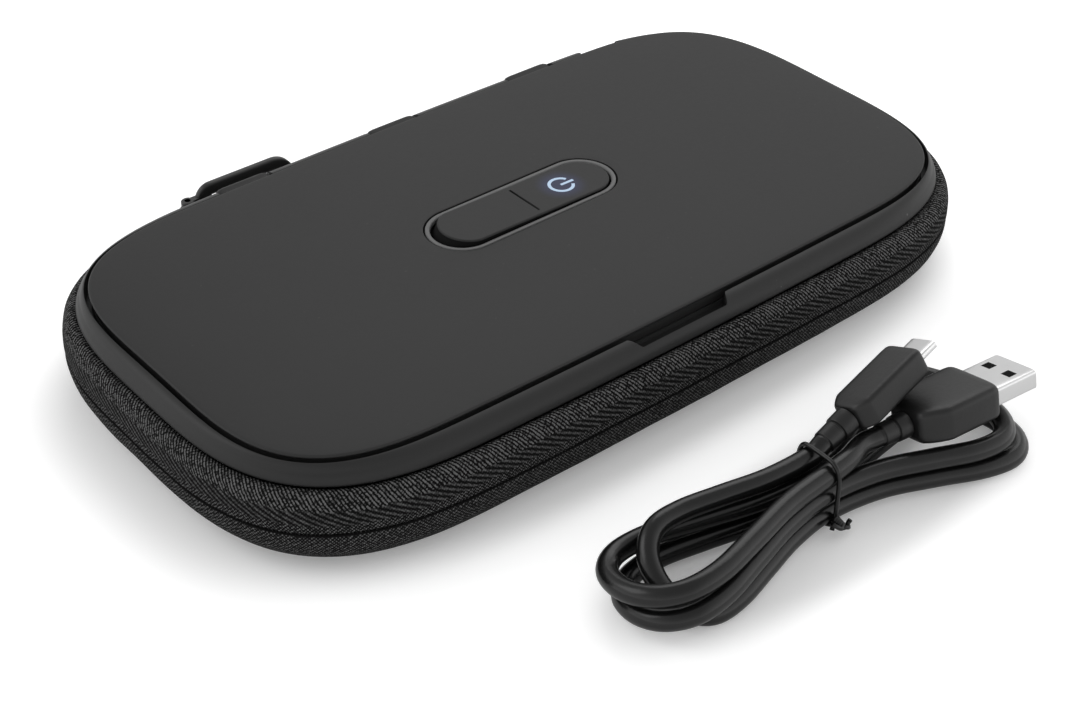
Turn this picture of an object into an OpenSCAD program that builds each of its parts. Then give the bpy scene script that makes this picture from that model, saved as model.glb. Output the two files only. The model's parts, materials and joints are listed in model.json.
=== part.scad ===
// Pocket ultraviolet sanitizer case for phones, with its charging cord.
// The soft-sided case is shown zipped flat: X runs along its length, Y towards the hinge, Z up.
// The origin is the middle of the flat bottom.

/* [Case] */
// Length over the moulded rim, without the fabric that bulges past it
rim_l = 203; // [180:1:230]
// Width over the moulded rim
rim_w = 110.7; // [98:0.5:124]
// Corner radius of the rim outline
rim_corner = 54; // [44:0.5:54]
// Squareness of the rim corners: 2 is round, larger is squarer
rim_square = 3.1; // [2.4:0.1:4]
// Width of the rim from its edge to the groove line, at the short ends
rim_end = 3.9; // [3.5:0.1:6]
// Width of the rim from its edge to the groove line, along the long sides
rim_side = 4.65; // [4.2:0.05:6]
// How far the fabric stands out past the rim
bulge = 3.3; // [2:0.1:5]
// Part of the width that the long sides lose by bowing in towards their ends
side_bow = 0.034; // [0:0.002:0.05]
// Part of the length that the short ends gain towards their corners
end_bow = 0.01; // [0:0.002:0.02]
// Height of the zip line above the bottom
zip_z = 11; // [10:0.5:13]
// Height of the rim edge where the fabric starts
fabric_top_z = 20.1; // [19.5:0.1:22]
// Height from that edge to the flat top of the rim
rim_rise = 3.8; // [3:0.1:5]
// Thickness of the zip tape
tape_t = 0.9; // [0.6:0.1:1.2]
// Thickness of the floor of the lower shell
floor_t = 2; // [1.5:0.1:3]
// Thickness of the shell walls behind the tape
wall_t = 2.3; // [1.8:0.1:3]
// Height that the fabric body rises by when it is unzipped
rise = 30; // [20:1:32]

/* [Lid] */
// Corner radius of the lid outline
lid_corner = 44.7; // [38:0.5:48]
// Squareness of the lid corners
lid_square = 3.3; // [2.4:0.1:4]
// Width of the groove between lid and rim
groove = 1.5; // [1:0.1:2]
// How far the lid's edge stands above the rim
lid_proud = 1.6; // [1:0.1:2.4]
// How far the middle of the lid is crowned above its edge
crown = 0.5; // [0.2:0.1:1]
// Thickness of the lid's skin and skirt
skin_t = 1.6; // [1.2:0.1:2]
// Depth of the electronics tray below the top of the rim
tray_depth = 9.4; // [9:0.1:10]
// Thickness of the tray's floor and walls
tray_t = 1.6; // [1.2:0.1:2]
// Largest opening angle of the lid
lid_open = 100; // [80:5:105]

/* [Finger notch] */
// Length of the notch in the front of the rim
notch_l = 28; // [20:0.5:36]
// Thickness of the rim that is left outside the notch
notch_wall = 1.1; // [1:0.05:1.5]
// Place of the middle of the notch along the case
notch_x = -1.3; // [-6:0.1:6]
// Corner radius of the notch
notch_r = 1.6; // [1:0.1:2]

/* [Button] */
// Length of the power key
key_l = 48.4; // [40:0.1:54]
// Width of the power key
key_w = 13.8; // [11:0.1:16]
// Gap between the key and its bezel
key_gap = 0.4; // [0.3:0.05:0.6]
// Width of the bevelled bezel ring
bezel_w = 1.6; // [1:0.1:2.2]
// Middle of the key across the case
key_y = 2; // [-4:0.1:6]
// How far the left end of the key stands above the lid
key_proud = 0.9; // [0.4:0.1:1.2]
// How far the key travels when it is pressed
key_travel = 0.6; // [0.3:0.1:0.7]
// Place of the power sign along the key, from its middle
icon_x = 11.6; // [6:0.1:16]
// Outside diameter of the ring of the power sign
icon_d = 6.4; // [5:0.1:8]
// Line width of the power sign
icon_line = 0.9; // [0.6:0.1:1.2]

/* [Hinge] */
// Length of the hinge
hinge_l = 100; // [80:1:110]
// Radius of the hinge barrel
barrel_r = 2.1; // [1.8:0.1:2.2]
// Radius of the hinge pin
pin_r = 0.9; // [0.7:0.05:1]
// Running clearance of the pin in the lid's knuckles
pin_play = 0.05; // [0.03:0.01:0.08]
// Length of each of the three knuckles on the lid
knuckle_l = 14; // [10:0.5:18]
// Gap between neighbouring knuckles
knuckle_gap = 0.3; // [0.2:0.05:0.5]

/* [Zip] */
// Gap between the two rows of tape, where the slider's web runs
zip_gap = 0.8; // [0.6:0.1:1]
// Middle of the slider along the back when it is parked closed
slider_x = -57; // [-60:1:-40]
// Length of the slider
slider_l = 11; // [9:0.5:13]
// Height of the slider
slider_h = 9; // [7:0.5:10]
// Straight travel of the slider along the back
slider_travel = 100; // [60:5:100]
// Length of the pull tab
pull_l = 27; // [22:0.5:32]
// Width of the pull tab
pull_w = 11.6; // [9:0.1:13]
// Thickness of the pull tab
pull_t = 1.8; // [1.4:0.1:2.4]
// Width of the frame round the slot in the pull tab
pull_frame = 2.4; // [1.6:0.1:3]

/* [Ultraviolet lamps] */
// Lamps along the lid
lamp_columns = 5; // [3:1:6]
// Distance between lamps along the lid
lamp_pitch_x = 32; // [26:1:34]
// Distance between the two rows of lamps
lamp_pitch_y = 40; // [30:1:44]
// Diameter of each lamp window
window_d = 9; // [7:0.5:11]

/* [Electronics] */
// Place of the charging port along the case
port_x = 66; // [58:1:70]
// Width of the opening in the rim for the charging plug
port_w = 12; // [11:0.5:14]
// Length of the control board
control_l = 64; // [56:1:70]
// Width of the control board
control_w = 24; // [20:1:28]
// Length of the battery
battery_l = 36; // [30:1:40]
// Width of the battery
battery_w = 42; // [34:1:46]
// Thickness of the battery
battery_h = 4; // [3.5:0.1:4.5]
// Middle of the battery along the case
battery_x = -54; // [-56:1:-53]
// Radius of the screw bosses in the lid
boss_r = 2.8; // [2.4:0.1:3.2]
// Distance of the lid magnets from the middle of the case
magnet_x = 60; // [50:1:70]
// Radius of the lid magnets
magnet_r = 2.2; // [1.8:0.1:2.4]
// Thickness of the magnets
magnet_t = 1.6; // [1.2:0.1:2]

/* [Cord] */
// Diameter of the cord
cord_d = 4.6; // [3.5:0.1:5]
// Width of the plug that goes into the charger
usb_w = 12; // [11.9:0.05:12.1]
// Thickness of the plug that goes into the charger
usb_t = 4.5; // [4.4:0.05:4.6]
// Width of the small plug that goes into the case
micro_w = 6.85; // [6.8:0.05:6.9]
// Thickness of the small plug that goes into the case
micro_t = 1.8; // [1.75:0.05:1.85]

/* [Hidden] */

fine = 0.1;            // gap between skins that are laminated together
seat = 0.3;            // gap between pieces that only lie near each other
long = 400;            // longer than anything that is cut
RIM = 0;               // outline family of the rim and the fabric
LID = 1;               // outline family of the lid and the groove

lid_l = rim_l - 2 * rim_end;
lid_w = rim_w - 2 * rim_side;
rim_top_z = fabric_top_z + rim_rise;
lid_edge_z = rim_top_z + lid_proud;
lid_top_z = lid_edge_z + crown;
ledge_z = fabric_top_z + 0.3;
ledge_t = 2.2;
gasket_h = 0.7;
skirt_z = ledge_z + gasket_h + fine;
tray_z = rim_top_z - tray_depth;
roof_z = lid_edge_z - skin_t;
tape_low_z = zip_z - zip_gap / 2;
tape_high_z = zip_z + zip_gap / 2;
coil_h = 1.6;
coil_t = 1.2;
shell_top_z = tape_low_z - coil_h - 0.6;
wall_low_z = tape_high_z + coil_h + 0.6;
lid_out = -groove / 2;
lid_in = lid_out - skin_t;
tray_out = -3.9;
chamber_in = -2.9;
rim_in_t = 1.5;

// Outlines: a stretched superellipse corner with straight middles, its long sides bowed in.
corner_steps = 12;
side_steps = 4;
function half_l(fam) = fam == RIM ? rim_l / 2 : lid_l / 2;
function half_w(fam) = fam == RIM ? rim_w / 2 : lid_w / 2;
function corner(fam) = min(fam == RIM ? rim_corner : lid_corner, half_w(fam) - 1);
function square_of(fam) = fam == RIM ? rim_square : lid_square;
function quarter(a, b, r, n) = concat([[a, 0]],
    [for (i = [0:corner_steps]) let(t = 90 * i / corner_steps)
        [a - r + r * pow(cos(t), 2 / n), b - r + r * pow(sin(t), 2 / n)]],
    [for (i = [1:side_steps]) [(a - r) * (1 - i / side_steps), b]]);
function bowed(p, a, b) =
    [p[0] * (1 + end_bow * pow(p[1] / b, 2)), p[1] * (1 - side_bow * pow(p[0] / a, 2))];
function outline(fam, d) = let(a = half_l(fam) + d, b = half_w(fam) + d, r = corner(fam) + d,
    q = quarter(a, b, r, square_of(fam)), m = len(q),
    h = concat(q, [for (i = [m - 2:-1:0]) [-q[i][0], q[i][1]]]), k = len(h),
    f = concat(h, [for (i = [k - 2:-1:1]) [h[i][0], -h[i][1]]]))
    [for (p = f) bowed(p, a, b)];
ring_n = len(outline(RIM, 0));
// Half width of an outline at a place along it
function side_y(fam, d, x) = let(a = half_l(fam) + d, b = half_w(fam) + d, r = corner(fam) + d,
    n = square_of(fam), flat_x = abs(x) / (1 + end_bow), u = max(0, (flat_x - a + r) / r))
    (b - r + r * pow(1 - pow(u, n), 1 / n)) * (1 - side_bow * pow(flat_x / a, 2));

function rings(section) = [for (s = section) for (p = outline(s[0], s[1])) [p[0], p[1], s[2]]];
function strip(j, k) = [for (i = [0:ring_n - 1]) let(u = (i + 1) % ring_n)
    each [[j * ring_n + i, k * ring_n + i, k * ring_n + u], [j * ring_n + i, k * ring_n + u, j * ring_n + u]]];

// A closed section of [family, offset, height] points swept round the case.
module swept(section) {
    m = len(section);
    polyhedron(points = rings(section), faces = [for (j = [0:m - 1]) each strip(j, (j + 1) % m)], convexity = 8);
}

// A profile from the middle of an under face to the middle of an upper face, swept round and capped.
module capped(profile) {
    m = len(profile);
    polyhedron(points = rings(profile),
        faces = concat([[for (i = [0:ring_n - 1]) i]],
            [for (j = [0:m - 2]) each strip(j, j + 1)],
            [[for (i = [ring_n - 1:-1:0]) (m - 1) * ring_n + i]]), convexity = 8);
}

module slab(fam, d, z0, z1) {
    translate([0, 0, z0]) linear_extrude(z1 - z0) polygon(outline(fam, d));
}

module stadium(l, w, z0, z1) {
    translate([0, 0, z0]) linear_extrude(z1 - z0) union() {
        square([l - w, w], center = true);
        for (s = [-1, 1]) translate([s * (l - w) / 2, 0]) circle(d = w, $fn = 64);
    }
}

module bar(x0, x1, y0, y1, z0, z1) {
    translate([x0, y0, z0]) cube([x1 - x0, y1 - y0, z1 - z0]);
}

module along_x(x0, x1, r, y, z) {
    translate([x0, y, z]) rotate([0, 90, 0]) cylinder(h = x1 - x0, r = r, $fn = 48);
}

// Lower half of the case
module base_shell() {
    color([0.17, 0.17, 0.18])
    capped([[RIM, -5.5, 0], [RIM, -2.4, 0.75], [RIM, -1, 1.6], [RIM, bulge - 2.6, 4.5],
        [RIM, bulge - 1.65, 5.95], [RIM, bulge - 1.15, shell_top_z], [RIM, bulge - 1.15 - wall_t, shell_top_z],
        [RIM, bulge - 2.2 - wall_t, 4.5], [RIM, bulge - 4.2 - wall_t, floor_t]]);
}

module base_mirror() {
    color([0.78, 0.79, 0.8])
    slab(RIM, bulge - 4.6 - wall_t, floor_t, floor_t + 0.4);
}

module zip_tape_lower() {
    color([0.13, 0.13, 0.14])
    swept([[RIM, -0.9, 1.5], [RIM, 0.4, 2.4], [RIM, bulge - 1.5, 4.3], [RIM, bulge - 0.7, 5.8],
        [RIM, bulge - 0.2, tape_low_z - 2.6], [RIM, bulge, tape_low_z], [RIM, bulge - tape_t, tape_low_z],
        [RIM, bulge - 0.15 - tape_t, tape_low_z - 2.6], [RIM, bulge - 0.65 - tape_t, 5.9],
        [RIM, bulge - 1.6 - tape_t, 4.5], [RIM, -0.95, 1.72]]);
}

module zip_coil(z0) {
    swept([[RIM, bulge - tape_t - fine - coil_t, z0], [RIM, bulge - tape_t - fine, z0],
        [RIM, bulge - tape_t - fine, z0 + coil_h], [RIM, bulge - tape_t - fine - coil_t, z0 + coil_h]]);
}

module zip_coil_lower() {
    color([0.05, 0.05, 0.05]) zip_coil(tape_low_z - coil_h);
}

module zip_coil_upper() {
    color([0.05, 0.05, 0.05]) zip_coil(tape_high_z);
}

// Pleated wall that lets the body rise when it is unzipped
gusset_t = 0.6;
gusset_out = -1.9;
pleat = 3.2;
module expansion_gusset() {
    low = shell_top_z + seat;
    high = wall_low_z - seat;
    step = (high - low) / 3;
    color([0.1, 0.1, 0.11])
    swept([[RIM, gusset_out, low], [RIM, gusset_out - pleat + gusset_t, low + step],
        [RIM, gusset_out, low + 2 * step], [RIM, gusset_out - pleat + gusset_t, high],
        [RIM, gusset_out - pleat, high], [RIM, gusset_out - gusset_t, low + 2 * step],
        [RIM, gusset_out - pleat, low + step], [RIM, gusset_out - gusset_t, low]]);
}

// Upper half of the case: the fabric-covered wall and the moulded rim
module rim_wall() {
    color([0.15, 0.15, 0.16])
    swept([[RIM, bulge - 1.1 - wall_t, wall_low_z], [RIM, bulge - 1.1, wall_low_z],
        [RIM, bulge - 1.25, fabric_top_z - 4.1],
        [RIM, bulge - 2, fabric_top_z - 2.05], [RIM, 0, fabric_top_z - 1.05], [RIM, -0.3, fabric_top_z - 1.05],
        [RIM, -0.3, fabric_top_z - 2.2], [RIM, bulge - 1.1 - wall_t, fabric_top_z - 4.1]]);
}

hinge_y = lid_w / 2 + 2.3;
hinge_z = rim_top_z - 1.2;
lid_knuckles = [for (s = [-1, 0, 1]) s * (hinge_l - knuckle_l) / 2];
rim_knuckle_l = (hinge_l - 3 * knuckle_l) / 2 - 2 * knuckle_gap;
rim_knuckles = [for (s = [-1, 1]) s * (knuckle_l + rim_knuckle_l + 2 * knuckle_gap) / 2];
notch_y = notch_wall - rim_w / 2;

module notch_space() {
    x0 = notch_x - notch_l / 2;
    y1 = -lid_w / 2 + 3;
    translate([0, 0, ledge_z]) linear_extrude(long) union() {
        translate([x0 + notch_r, notch_y]) square([notch_l - 2 * notch_r, y1 - notch_y]);
        translate([x0, notch_y + notch_r]) square([notch_l, y1 - notch_y - notch_r]);
        for (s = [x0 + notch_r, x0 + notch_l - notch_r])
            translate([s, notch_y + notch_r]) circle(r = notch_r, $fn = 24);
    }
}

module rim_frame() {
    color([0.26, 0.26, 0.27])
    difference() {
        union() {
            difference() {
                swept([[LID, chamber_in, wall_low_z], [LID, chamber_in + rim_in_t, wall_low_z],
                    [LID, chamber_in + rim_in_t, ledge_z - ledge_t], [RIM, -0.4, ledge_z - ledge_t],
                    [RIM, -0.4, fabric_top_z - 0.1], [RIM, 0, fabric_top_z + 0.1], [RIM, -0.1, fabric_top_z + 1.1],
                    [RIM, -0.9, rim_top_z - 1.1], [LID, groove / 2 + 1.3, rim_top_z - 0.1],
                    [LID, groove / 2 + 0.9, rim_top_z], [LID, groove / 2, rim_top_z],
                    [LID, groove / 2, ledge_z], [LID, chamber_in, ledge_z]]);
                notch_space();
                bar(-hinge_l / 2 - 0.5, hinge_l / 2 + 0.5, lid_w / 2 - 1.2, rim_w, ledge_z, long);
                bar(port_x - port_w / 2, port_x + port_w / 2, lid_w / 2 - 3, rim_w, ledge_z, long);
                bar(port_x - port_w / 2, port_x + port_w / 2, lid_w / 2 - 0.4, rim_w, ledge_z - 1, long);
            }
            for (x = rim_knuckles) {
                along_x(x - rim_knuckle_l / 2, x + rim_knuckle_l / 2, barrel_r, hinge_y, hinge_z);
                bar(x - rim_knuckle_l / 2, x + rim_knuckle_l / 2, hinge_y - 1.6, hinge_y + barrel_r,
                    ledge_z - 0.5, hinge_z);
            }
        }
        along_x(-hinge_l, hinge_l, pin_r, hinge_y, hinge_z);
        for (x = lid_knuckles) along_x(x - knuckle_l / 2 - knuckle_gap, x + knuckle_l / 2 + knuckle_gap,
            barrel_r + 0.4, hinge_y, hinge_z);
    }
}

module rim_gasket() {
    color([0.07, 0.07, 0.07])
    swept([[LID, -2.6, ledge_z], [LID, -0.6, ledge_z], [LID, -0.9, ledge_z + gasket_h],
        [LID, -2.3, ledge_z + gasket_h]]);
}

// Magnets on the outer face of the rim's inner wall: the outer two hold the lid, the third tells the sensor
sensor_x = 20;
module rim_magnets() {
    color([0.6, 0.6, 0.62])
    for (x = [-magnet_x, sensor_x, magnet_x])
        translate([x, -side_y(LID, chamber_in + rim_in_t, x) - fine, (wall_low_z + ledge_z - ledge_t) / 2])
            rotate([90, 0, 0]) cylinder(h = magnet_t, r = magnet_r - 0.4, $fn = 32);
}

module hinge_pin() {
    color([0.7, 0.7, 0.72])
    along_x(-hinge_l / 2, hinge_l / 2, pin_r, hinge_y, hinge_z);
}

module zip_tape_upper() {
    color([0.13, 0.13, 0.14])
    swept([[RIM, bulge - tape_t, tape_high_z], [RIM, bulge, tape_high_z], [RIM, bulge + 0.05, wall_low_z],
        [RIM, bulge - 0.2, fabric_top_z - 3.9], [RIM, bulge - 0.9, fabric_top_z - 1.5],
        [RIM, bulge - 1.9, fabric_top_z - 0.5], [RIM, 0.2, fabric_top_z - 0.15], [RIM, 0.1, fabric_top_z - 0.9],
        [RIM, bulge - 1.85, fabric_top_z - 1.75], [RIM, bulge - 0.2 - tape_t, fabric_top_z - 4],
        [RIM, bulge - tape_t, wall_low_z]]);
}

// Lid
pocket_l = key_l + 2 * key_gap;
pocket_w = key_w + 2 * key_gap;
bezel_l = pocket_l + 2 * bezel_w;
socket_w = micro_w + 0.75;
socket_z = ledge_z + 0.9;
socket_y = side_y(LID, lid_out, port_x) - 0.17;
socket_l = 5.6;
screw_r = 0.9;
boss_x = 26;
bosses = [for (i = [-1, 1], j = [-1, 1])
    each [[i * (lid_l / 2 - 19.6), j * (lid_w / 2 - 20.7)], [i * boss_x, j * (lid_w / 2 - 10.1)]]];

module at_bosses() {
    for (p = bosses) translate([p[0], p[1], 0]) children();
}

module lid_cover() {
    boss_z = tray_z + tray_t + 1.2;
    color([0.22, 0.22, 0.23])
    difference() {
        union() {
            capped([[LID, lid_in, roof_z], [LID, lid_in, skirt_z], [LID, lid_out - 0.2, skirt_z],
                [LID, lid_out, skirt_z + 0.3], [LID, lid_out, lid_edge_z - 1.3],
                [LID, lid_out - 0.3, lid_edge_z - 0.6], [LID, lid_out - 0.95, lid_edge_z - 0.1],
                [LID, lid_out - 2, lid_edge_z + 0.1],
                [LID, lid_out - 12, lid_edge_z + 0.6 * crown], [LID, -34, lid_top_z]]);
            at_bosses() translate([0, 0, boss_z]) cylinder(h = roof_z - boss_z + 0.2, r = boss_r, $fn = 32);
            for (x = lid_knuckles) {
                along_x(x - knuckle_l / 2, x + knuckle_l / 2, barrel_r, hinge_y, hinge_z);
                bar(x - knuckle_l / 2, x + knuckle_l / 2, lid_w / 2 - 1.6, hinge_y, skirt_z + 0.4,
                    hinge_z + barrel_r - 0.3);
            }
        }
        at_bosses() translate([0, 0, boss_z - 1]) cylinder(h = 5, r = screw_r, $fn = 32);
        translate([0, key_y, 0]) stadium(bezel_l, pocket_w + 2 * bezel_w, roof_z + 0.9, long);
        translate([0, key_y, 0]) stadium(pocket_l, pocket_w, roof_z - 1, long);
        along_x(-hinge_l, hinge_l, pin_r + pin_play, hinge_y, hinge_z);
        bar(port_x - socket_w / 2 - 0.5, port_x + socket_w / 2 + 0.5, socket_y - socket_l - 3.2, lid_w,
            socket_z, socket_z + 3.2);
    }
}

module lid_tray() {
    lip = lid_in - 0.15;
    color([0.16, 0.16, 0.17])
    difference() {
        union() {
            difference() {
                union() {
                    slab(LID, tray_out, tray_z, skirt_z + 1.2);
                    slab(LID, lip, skirt_z, skirt_z + 1.2);
                }
                slab(LID, tray_out - tray_t, tray_z + tray_t, long);
            }
            at_bosses() translate([0, 0, tray_z]) cylinder(h = tray_t + 1.1, r = boss_r, $fn = 32);
            at_posts() translate([0, 0, tray_z + 1]) cylinder(h = board_z - tray_z - 1, r = 2, $fn = 24);
        }
        at_bosses() translate([0, 0, tray_z - 1]) cylinder(h = 2.2, r = 2, $fn = 32);
        at_bosses() translate([0, 0, tray_z - 1]) cylinder(h = 6, r = screw_r + 0.3, $fn = 32);
        at_lamps() translate([0, 0, tray_z - 1]) cylinder(h = 6, r = window_d / 2 - 0.8, $fn = 32);
        at_lamps() translate([0, 0, tray_z + 0.6]) cylinder(h = 6, r = window_d / 2 + 0.1, $fn = 32);
        bar(port_x - 6, port_x + 6, socket_y - 18, lid_w, socket_z - 1.6, long);
    }
}

board_z = tray_z + tray_t + 1.5;
board_t = 1.2;
lamp_span = (lamp_columns - 1) * lamp_pitch_x;
module at_lamps() {
    for (i = [0:lamp_columns - 1], s = [-1, 1])
        translate([i * lamp_pitch_x - lamp_span / 2, s * lamp_pitch_y / 2, 0]) children();
}

module at_posts() {
    for (i = [-1:1], s = [-1, 1])
        translate([i * (lamp_span / 2 - 4), s * (lamp_pitch_y / 2 - 8), 0]) children();
}

module lid_mirror() {
    color([0.8, 0.81, 0.82])
    difference() {
        slab(LID, tray_out - 1.5, tray_z - 0.4, tray_z - 0.02);
        at_lamps() translate([0, 0, tray_z - 2]) cylinder(h = 4, r = window_d / 2 - 0.8, $fn = 32);
        at_bosses() translate([0, 0, tray_z - 2]) cylinder(h = 4, r = 2.3, $fn = 32);
    }
}

module lamp_windows() {
    color([0.75, 0.85, 0.9])
    at_lamps() translate([0, 0, tray_z + 0.6]) cylinder(h = 0.9, r = window_d / 2, $fn = 32);
}

module lamp_board() {
    color([0.05, 0.25, 0.15])
    difference() {
        translate([0, 0, board_z]) linear_extrude(board_t)
            square([lamp_span + 2 * window_d, lamp_pitch_y + 2 * window_d + 4], center = true);
        at_posts() translate([0, 0, board_z - 1]) cylinder(h = 4, r = 1.1, $fn = 24);
    }
}

module uv_lamps() {
    color([0.85, 0.85, 0.8])
    at_lamps() translate([0, 0, board_z - 1.3]) linear_extrude(1.3) square(3.5, center = true);
}

control_z = board_z + board_t + 1.2;
control_t = 1;
module control_board() {
    color([0.05, 0.25, 0.15])
    union() {
        translate([0, key_y, control_z]) linear_extrude(control_t) square([control_l, control_w], center = true);
        for (i = [-1, 1], j = [-1, 1])
            translate([i * (control_l / 2 - 4), key_y + j * (control_w / 2 - 3), board_z + board_t])
                cylinder(h = control_z - board_z - board_t + 0.2, r = 1.6, $fn = 24);
    }
}

pad_t = 0.5;
module battery() {
    color([0.7, 0.7, 0.72])
    translate([battery_x, 0, board_z + board_t + pad_t]) linear_extrude(battery_h) union() {
        square([battery_l - 2, battery_w], center = true);
        square([battery_l, battery_w - 2], center = true);
    }
}

module battery_pad() {
    color([0.1, 0.1, 0.1])
    translate([battery_x, 0, board_z + board_t]) linear_extrude(pad_t)
        square([battery_l - 6, battery_w - 6], center = true);
}

switch_h = 1;
module key_switch() {
    color([0.75, 0.75, 0.76])
    translate([0, key_y, control_z + control_t]) difference() {
        translate([0, 0, switch_h / 2]) cube([6, 6, switch_h], center = true);
        translate([0, 0, -1]) cylinder(h = 4, r = 1.55, $fn = 32);
    }
}

key_flange_t = 0.6;
key_flange_z = roof_z - 0.1 - key_flange_t;
module switch_plunger() {
    color([0.1, 0.1, 0.1])
    translate([0, key_y, control_z + control_t + key_travel + 0.1])
        cylinder(h = key_flange_z - control_z - control_t - key_travel - 0.1, r = 1.5, $fn = 32);
}

module sign_led() {
    color([0.9, 0.95, 1])
    translate([icon_x, key_y, control_z + control_t]) linear_extrude(0.8) square([3, 1.5], center = true);
}

module charge_socket() {
    half = micro_w / 2 + 0.1;
    inside = 0.8 - socket_l;
    color([0.72, 0.72, 0.74])
    translate([port_x, socket_y, socket_z]) difference() {
        bar(-socket_w / 2, socket_w / 2, -socket_l, 0, 0.2, 3);
        bar(-half, half, inside, long, 0.6, 1.4);
        bar(-half, half, inside, long, 2, 2.6);
        bar(-half, -1.9, inside, long, 1, 2.3);
        bar(1.9, half, inside, long, 1, 2.3);
        bar(-3, 3, -0.6, long, 1, 2.3);
    }
}

module lid_magnets() {
    inner_y = side_y(LID, tray_out - tray_t, magnet_x + magnet_r) - seat;
    color([0.6, 0.6, 0.62])
    for (s = [-1, 1]) translate([s * magnet_x, magnet_t - inner_y, tray_z + tray_t + seat + magnet_r])
        rotate([90, 0, 0]) cylinder(h = magnet_t, r = magnet_r, $fn = 32);
}

sensor_h = 3;
sensor_t = 1.4;
module lid_sensor() {
    color([0.08, 0.08, 0.08])
    translate([sensor_x, seat - side_y(LID, tray_out - tray_t, sensor_x + 2), tray_z + tray_t + seat])
        translate([-2, 0, 0]) cube([4, sensor_t, sensor_h]);
}

module lid_screws() {
    color([0.3, 0.3, 0.31])
    at_bosses() {
        translate([0, 0, tray_z + 0.2]) cylinder(h = 0.95, r = 1.8, $fn = 32);
        translate([0, 0, tray_z + 0.2]) cylinder(h = 5.6, r = screw_r - 0.02, $fn = 32);
    }
}

module button_bezel() {
    color([0.42, 0.42, 0.43])
    translate([0, key_y, 0]) difference() {
        stadium(bezel_l - 0.1, pocket_w + 2 * bezel_w - 0.1, roof_z + 0.9, lid_top_z - 0.1);
        stadium(pocket_l, pocket_w, roof_z, long);
    }
}

// Power key: its top rises towards the left end
key_right_z = lid_top_z + 0.1;
key_left_z = lid_top_z + key_proud;
module sign_shape(grow) {
    translate([icon_x, 0]) union() {
        difference() {
            circle(r = icon_d / 2 + grow, $fn = 48);
            circle(r = icon_d / 2 - icon_line - grow, $fn = 48);
            square([icon_d, 2.6 * icon_line - 2 * grow], center = false);
            translate([0, -1.3 * icon_line + grow]) square([icon_d, 2.6 * icon_line - 2 * grow]);
        }
        translate([-0.2, -icon_line / 2 - grow]) square([icon_d / 2 + 0.4, icon_line + 2 * grow]);
    }
}

module power_key() {
    color([0.22, 0.22, 0.23])
    translate([0, key_y, 0]) difference() {
        union() {
            stadium(key_l, key_w, key_flange_z, key_left_z);
            stadium(key_l + 2.4, key_w + 2.4, key_flange_z, key_flange_z + key_flange_t);
        }
        rotate([90, 0, 0]) linear_extrude(2 * key_w, center = true)
            polygon([[-key_l, key_left_z + 1], [key_l, key_left_z + 1], [key_l, key_right_z],
                [key_l / 2, key_right_z], [-key_l / 2, key_left_z], [-key_l, key_left_z]]);
        bar(0.4, 0.8, -5.2, 5.4, key_right_z - 0.15, long);
        translate([0, 0, key_flange_z - 1]) linear_extrude(long) sign_shape(0.02);
    }
}

module power_sign() {
    color([0.9, 0.95, 1])
    translate([0, key_y, key_flange_z]) linear_extrude(key_right_z - key_flange_z + 0.1) sign_shape(0);
}

// Zip slider and its pull
back_y = rim_w / 2 + bulge;
plate_t = 1.3;
plate_y = back_y + 0.2;
lug_x = slider_x + 4;
lug_y = plate_y + plate_t + 1.7;
pull_z = zip_z + 3.4;
pull_pin_r = 0.75;

module slider_plate(y0, y1, l, h) {
    translate([slider_x, y1, zip_z]) rotate([90, 0, 0]) linear_extrude(y1 - y0) union() {
        square([l - 3, h], center = true);
        square([l, h - 3], center = true);
        for (i = [-1, 1], j = [-1, 1])
            translate([i * (l / 2 - 1.5), j * (h / 2 - 1.5)]) circle(r = 1.5, $fn = 24);
    }
}

module zip_slider() {
    color([0.12, 0.12, 0.12])
    difference() {
        union() {
            slider_plate(plate_y, plate_y + plate_t, slider_l, slider_h);
            slider_plate(rim_w / 2 - 0.75, rim_w / 2 + 0.15, slider_l - 1, slider_h - 4);
            bar(slider_x - 4.4, slider_x - 1, rim_w / 2, plate_y + 0.2, zip_z - zip_gap / 2 + 0.15,
                zip_z + zip_gap / 2 - 0.15);
            translate([lug_x, lug_y, pull_z - 2.2]) cylinder(h = 4.4, r = 1.7, $fn = 32);
            bar(lug_x - 1.7, lug_x + 1.7, plate_y + plate_t - 0.2, lug_y, pull_z - 2.2, pull_z + 2.2);
            bar(lug_x - 4.4, lug_x + 1.7, plate_y, plate_y + plate_t, zip_z, pull_z + 2.2);
        }
        translate([lug_x, lug_y, 0]) cylinder(h = long, r = pull_pin_r + pin_play, $fn = 32);
    }
}

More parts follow.
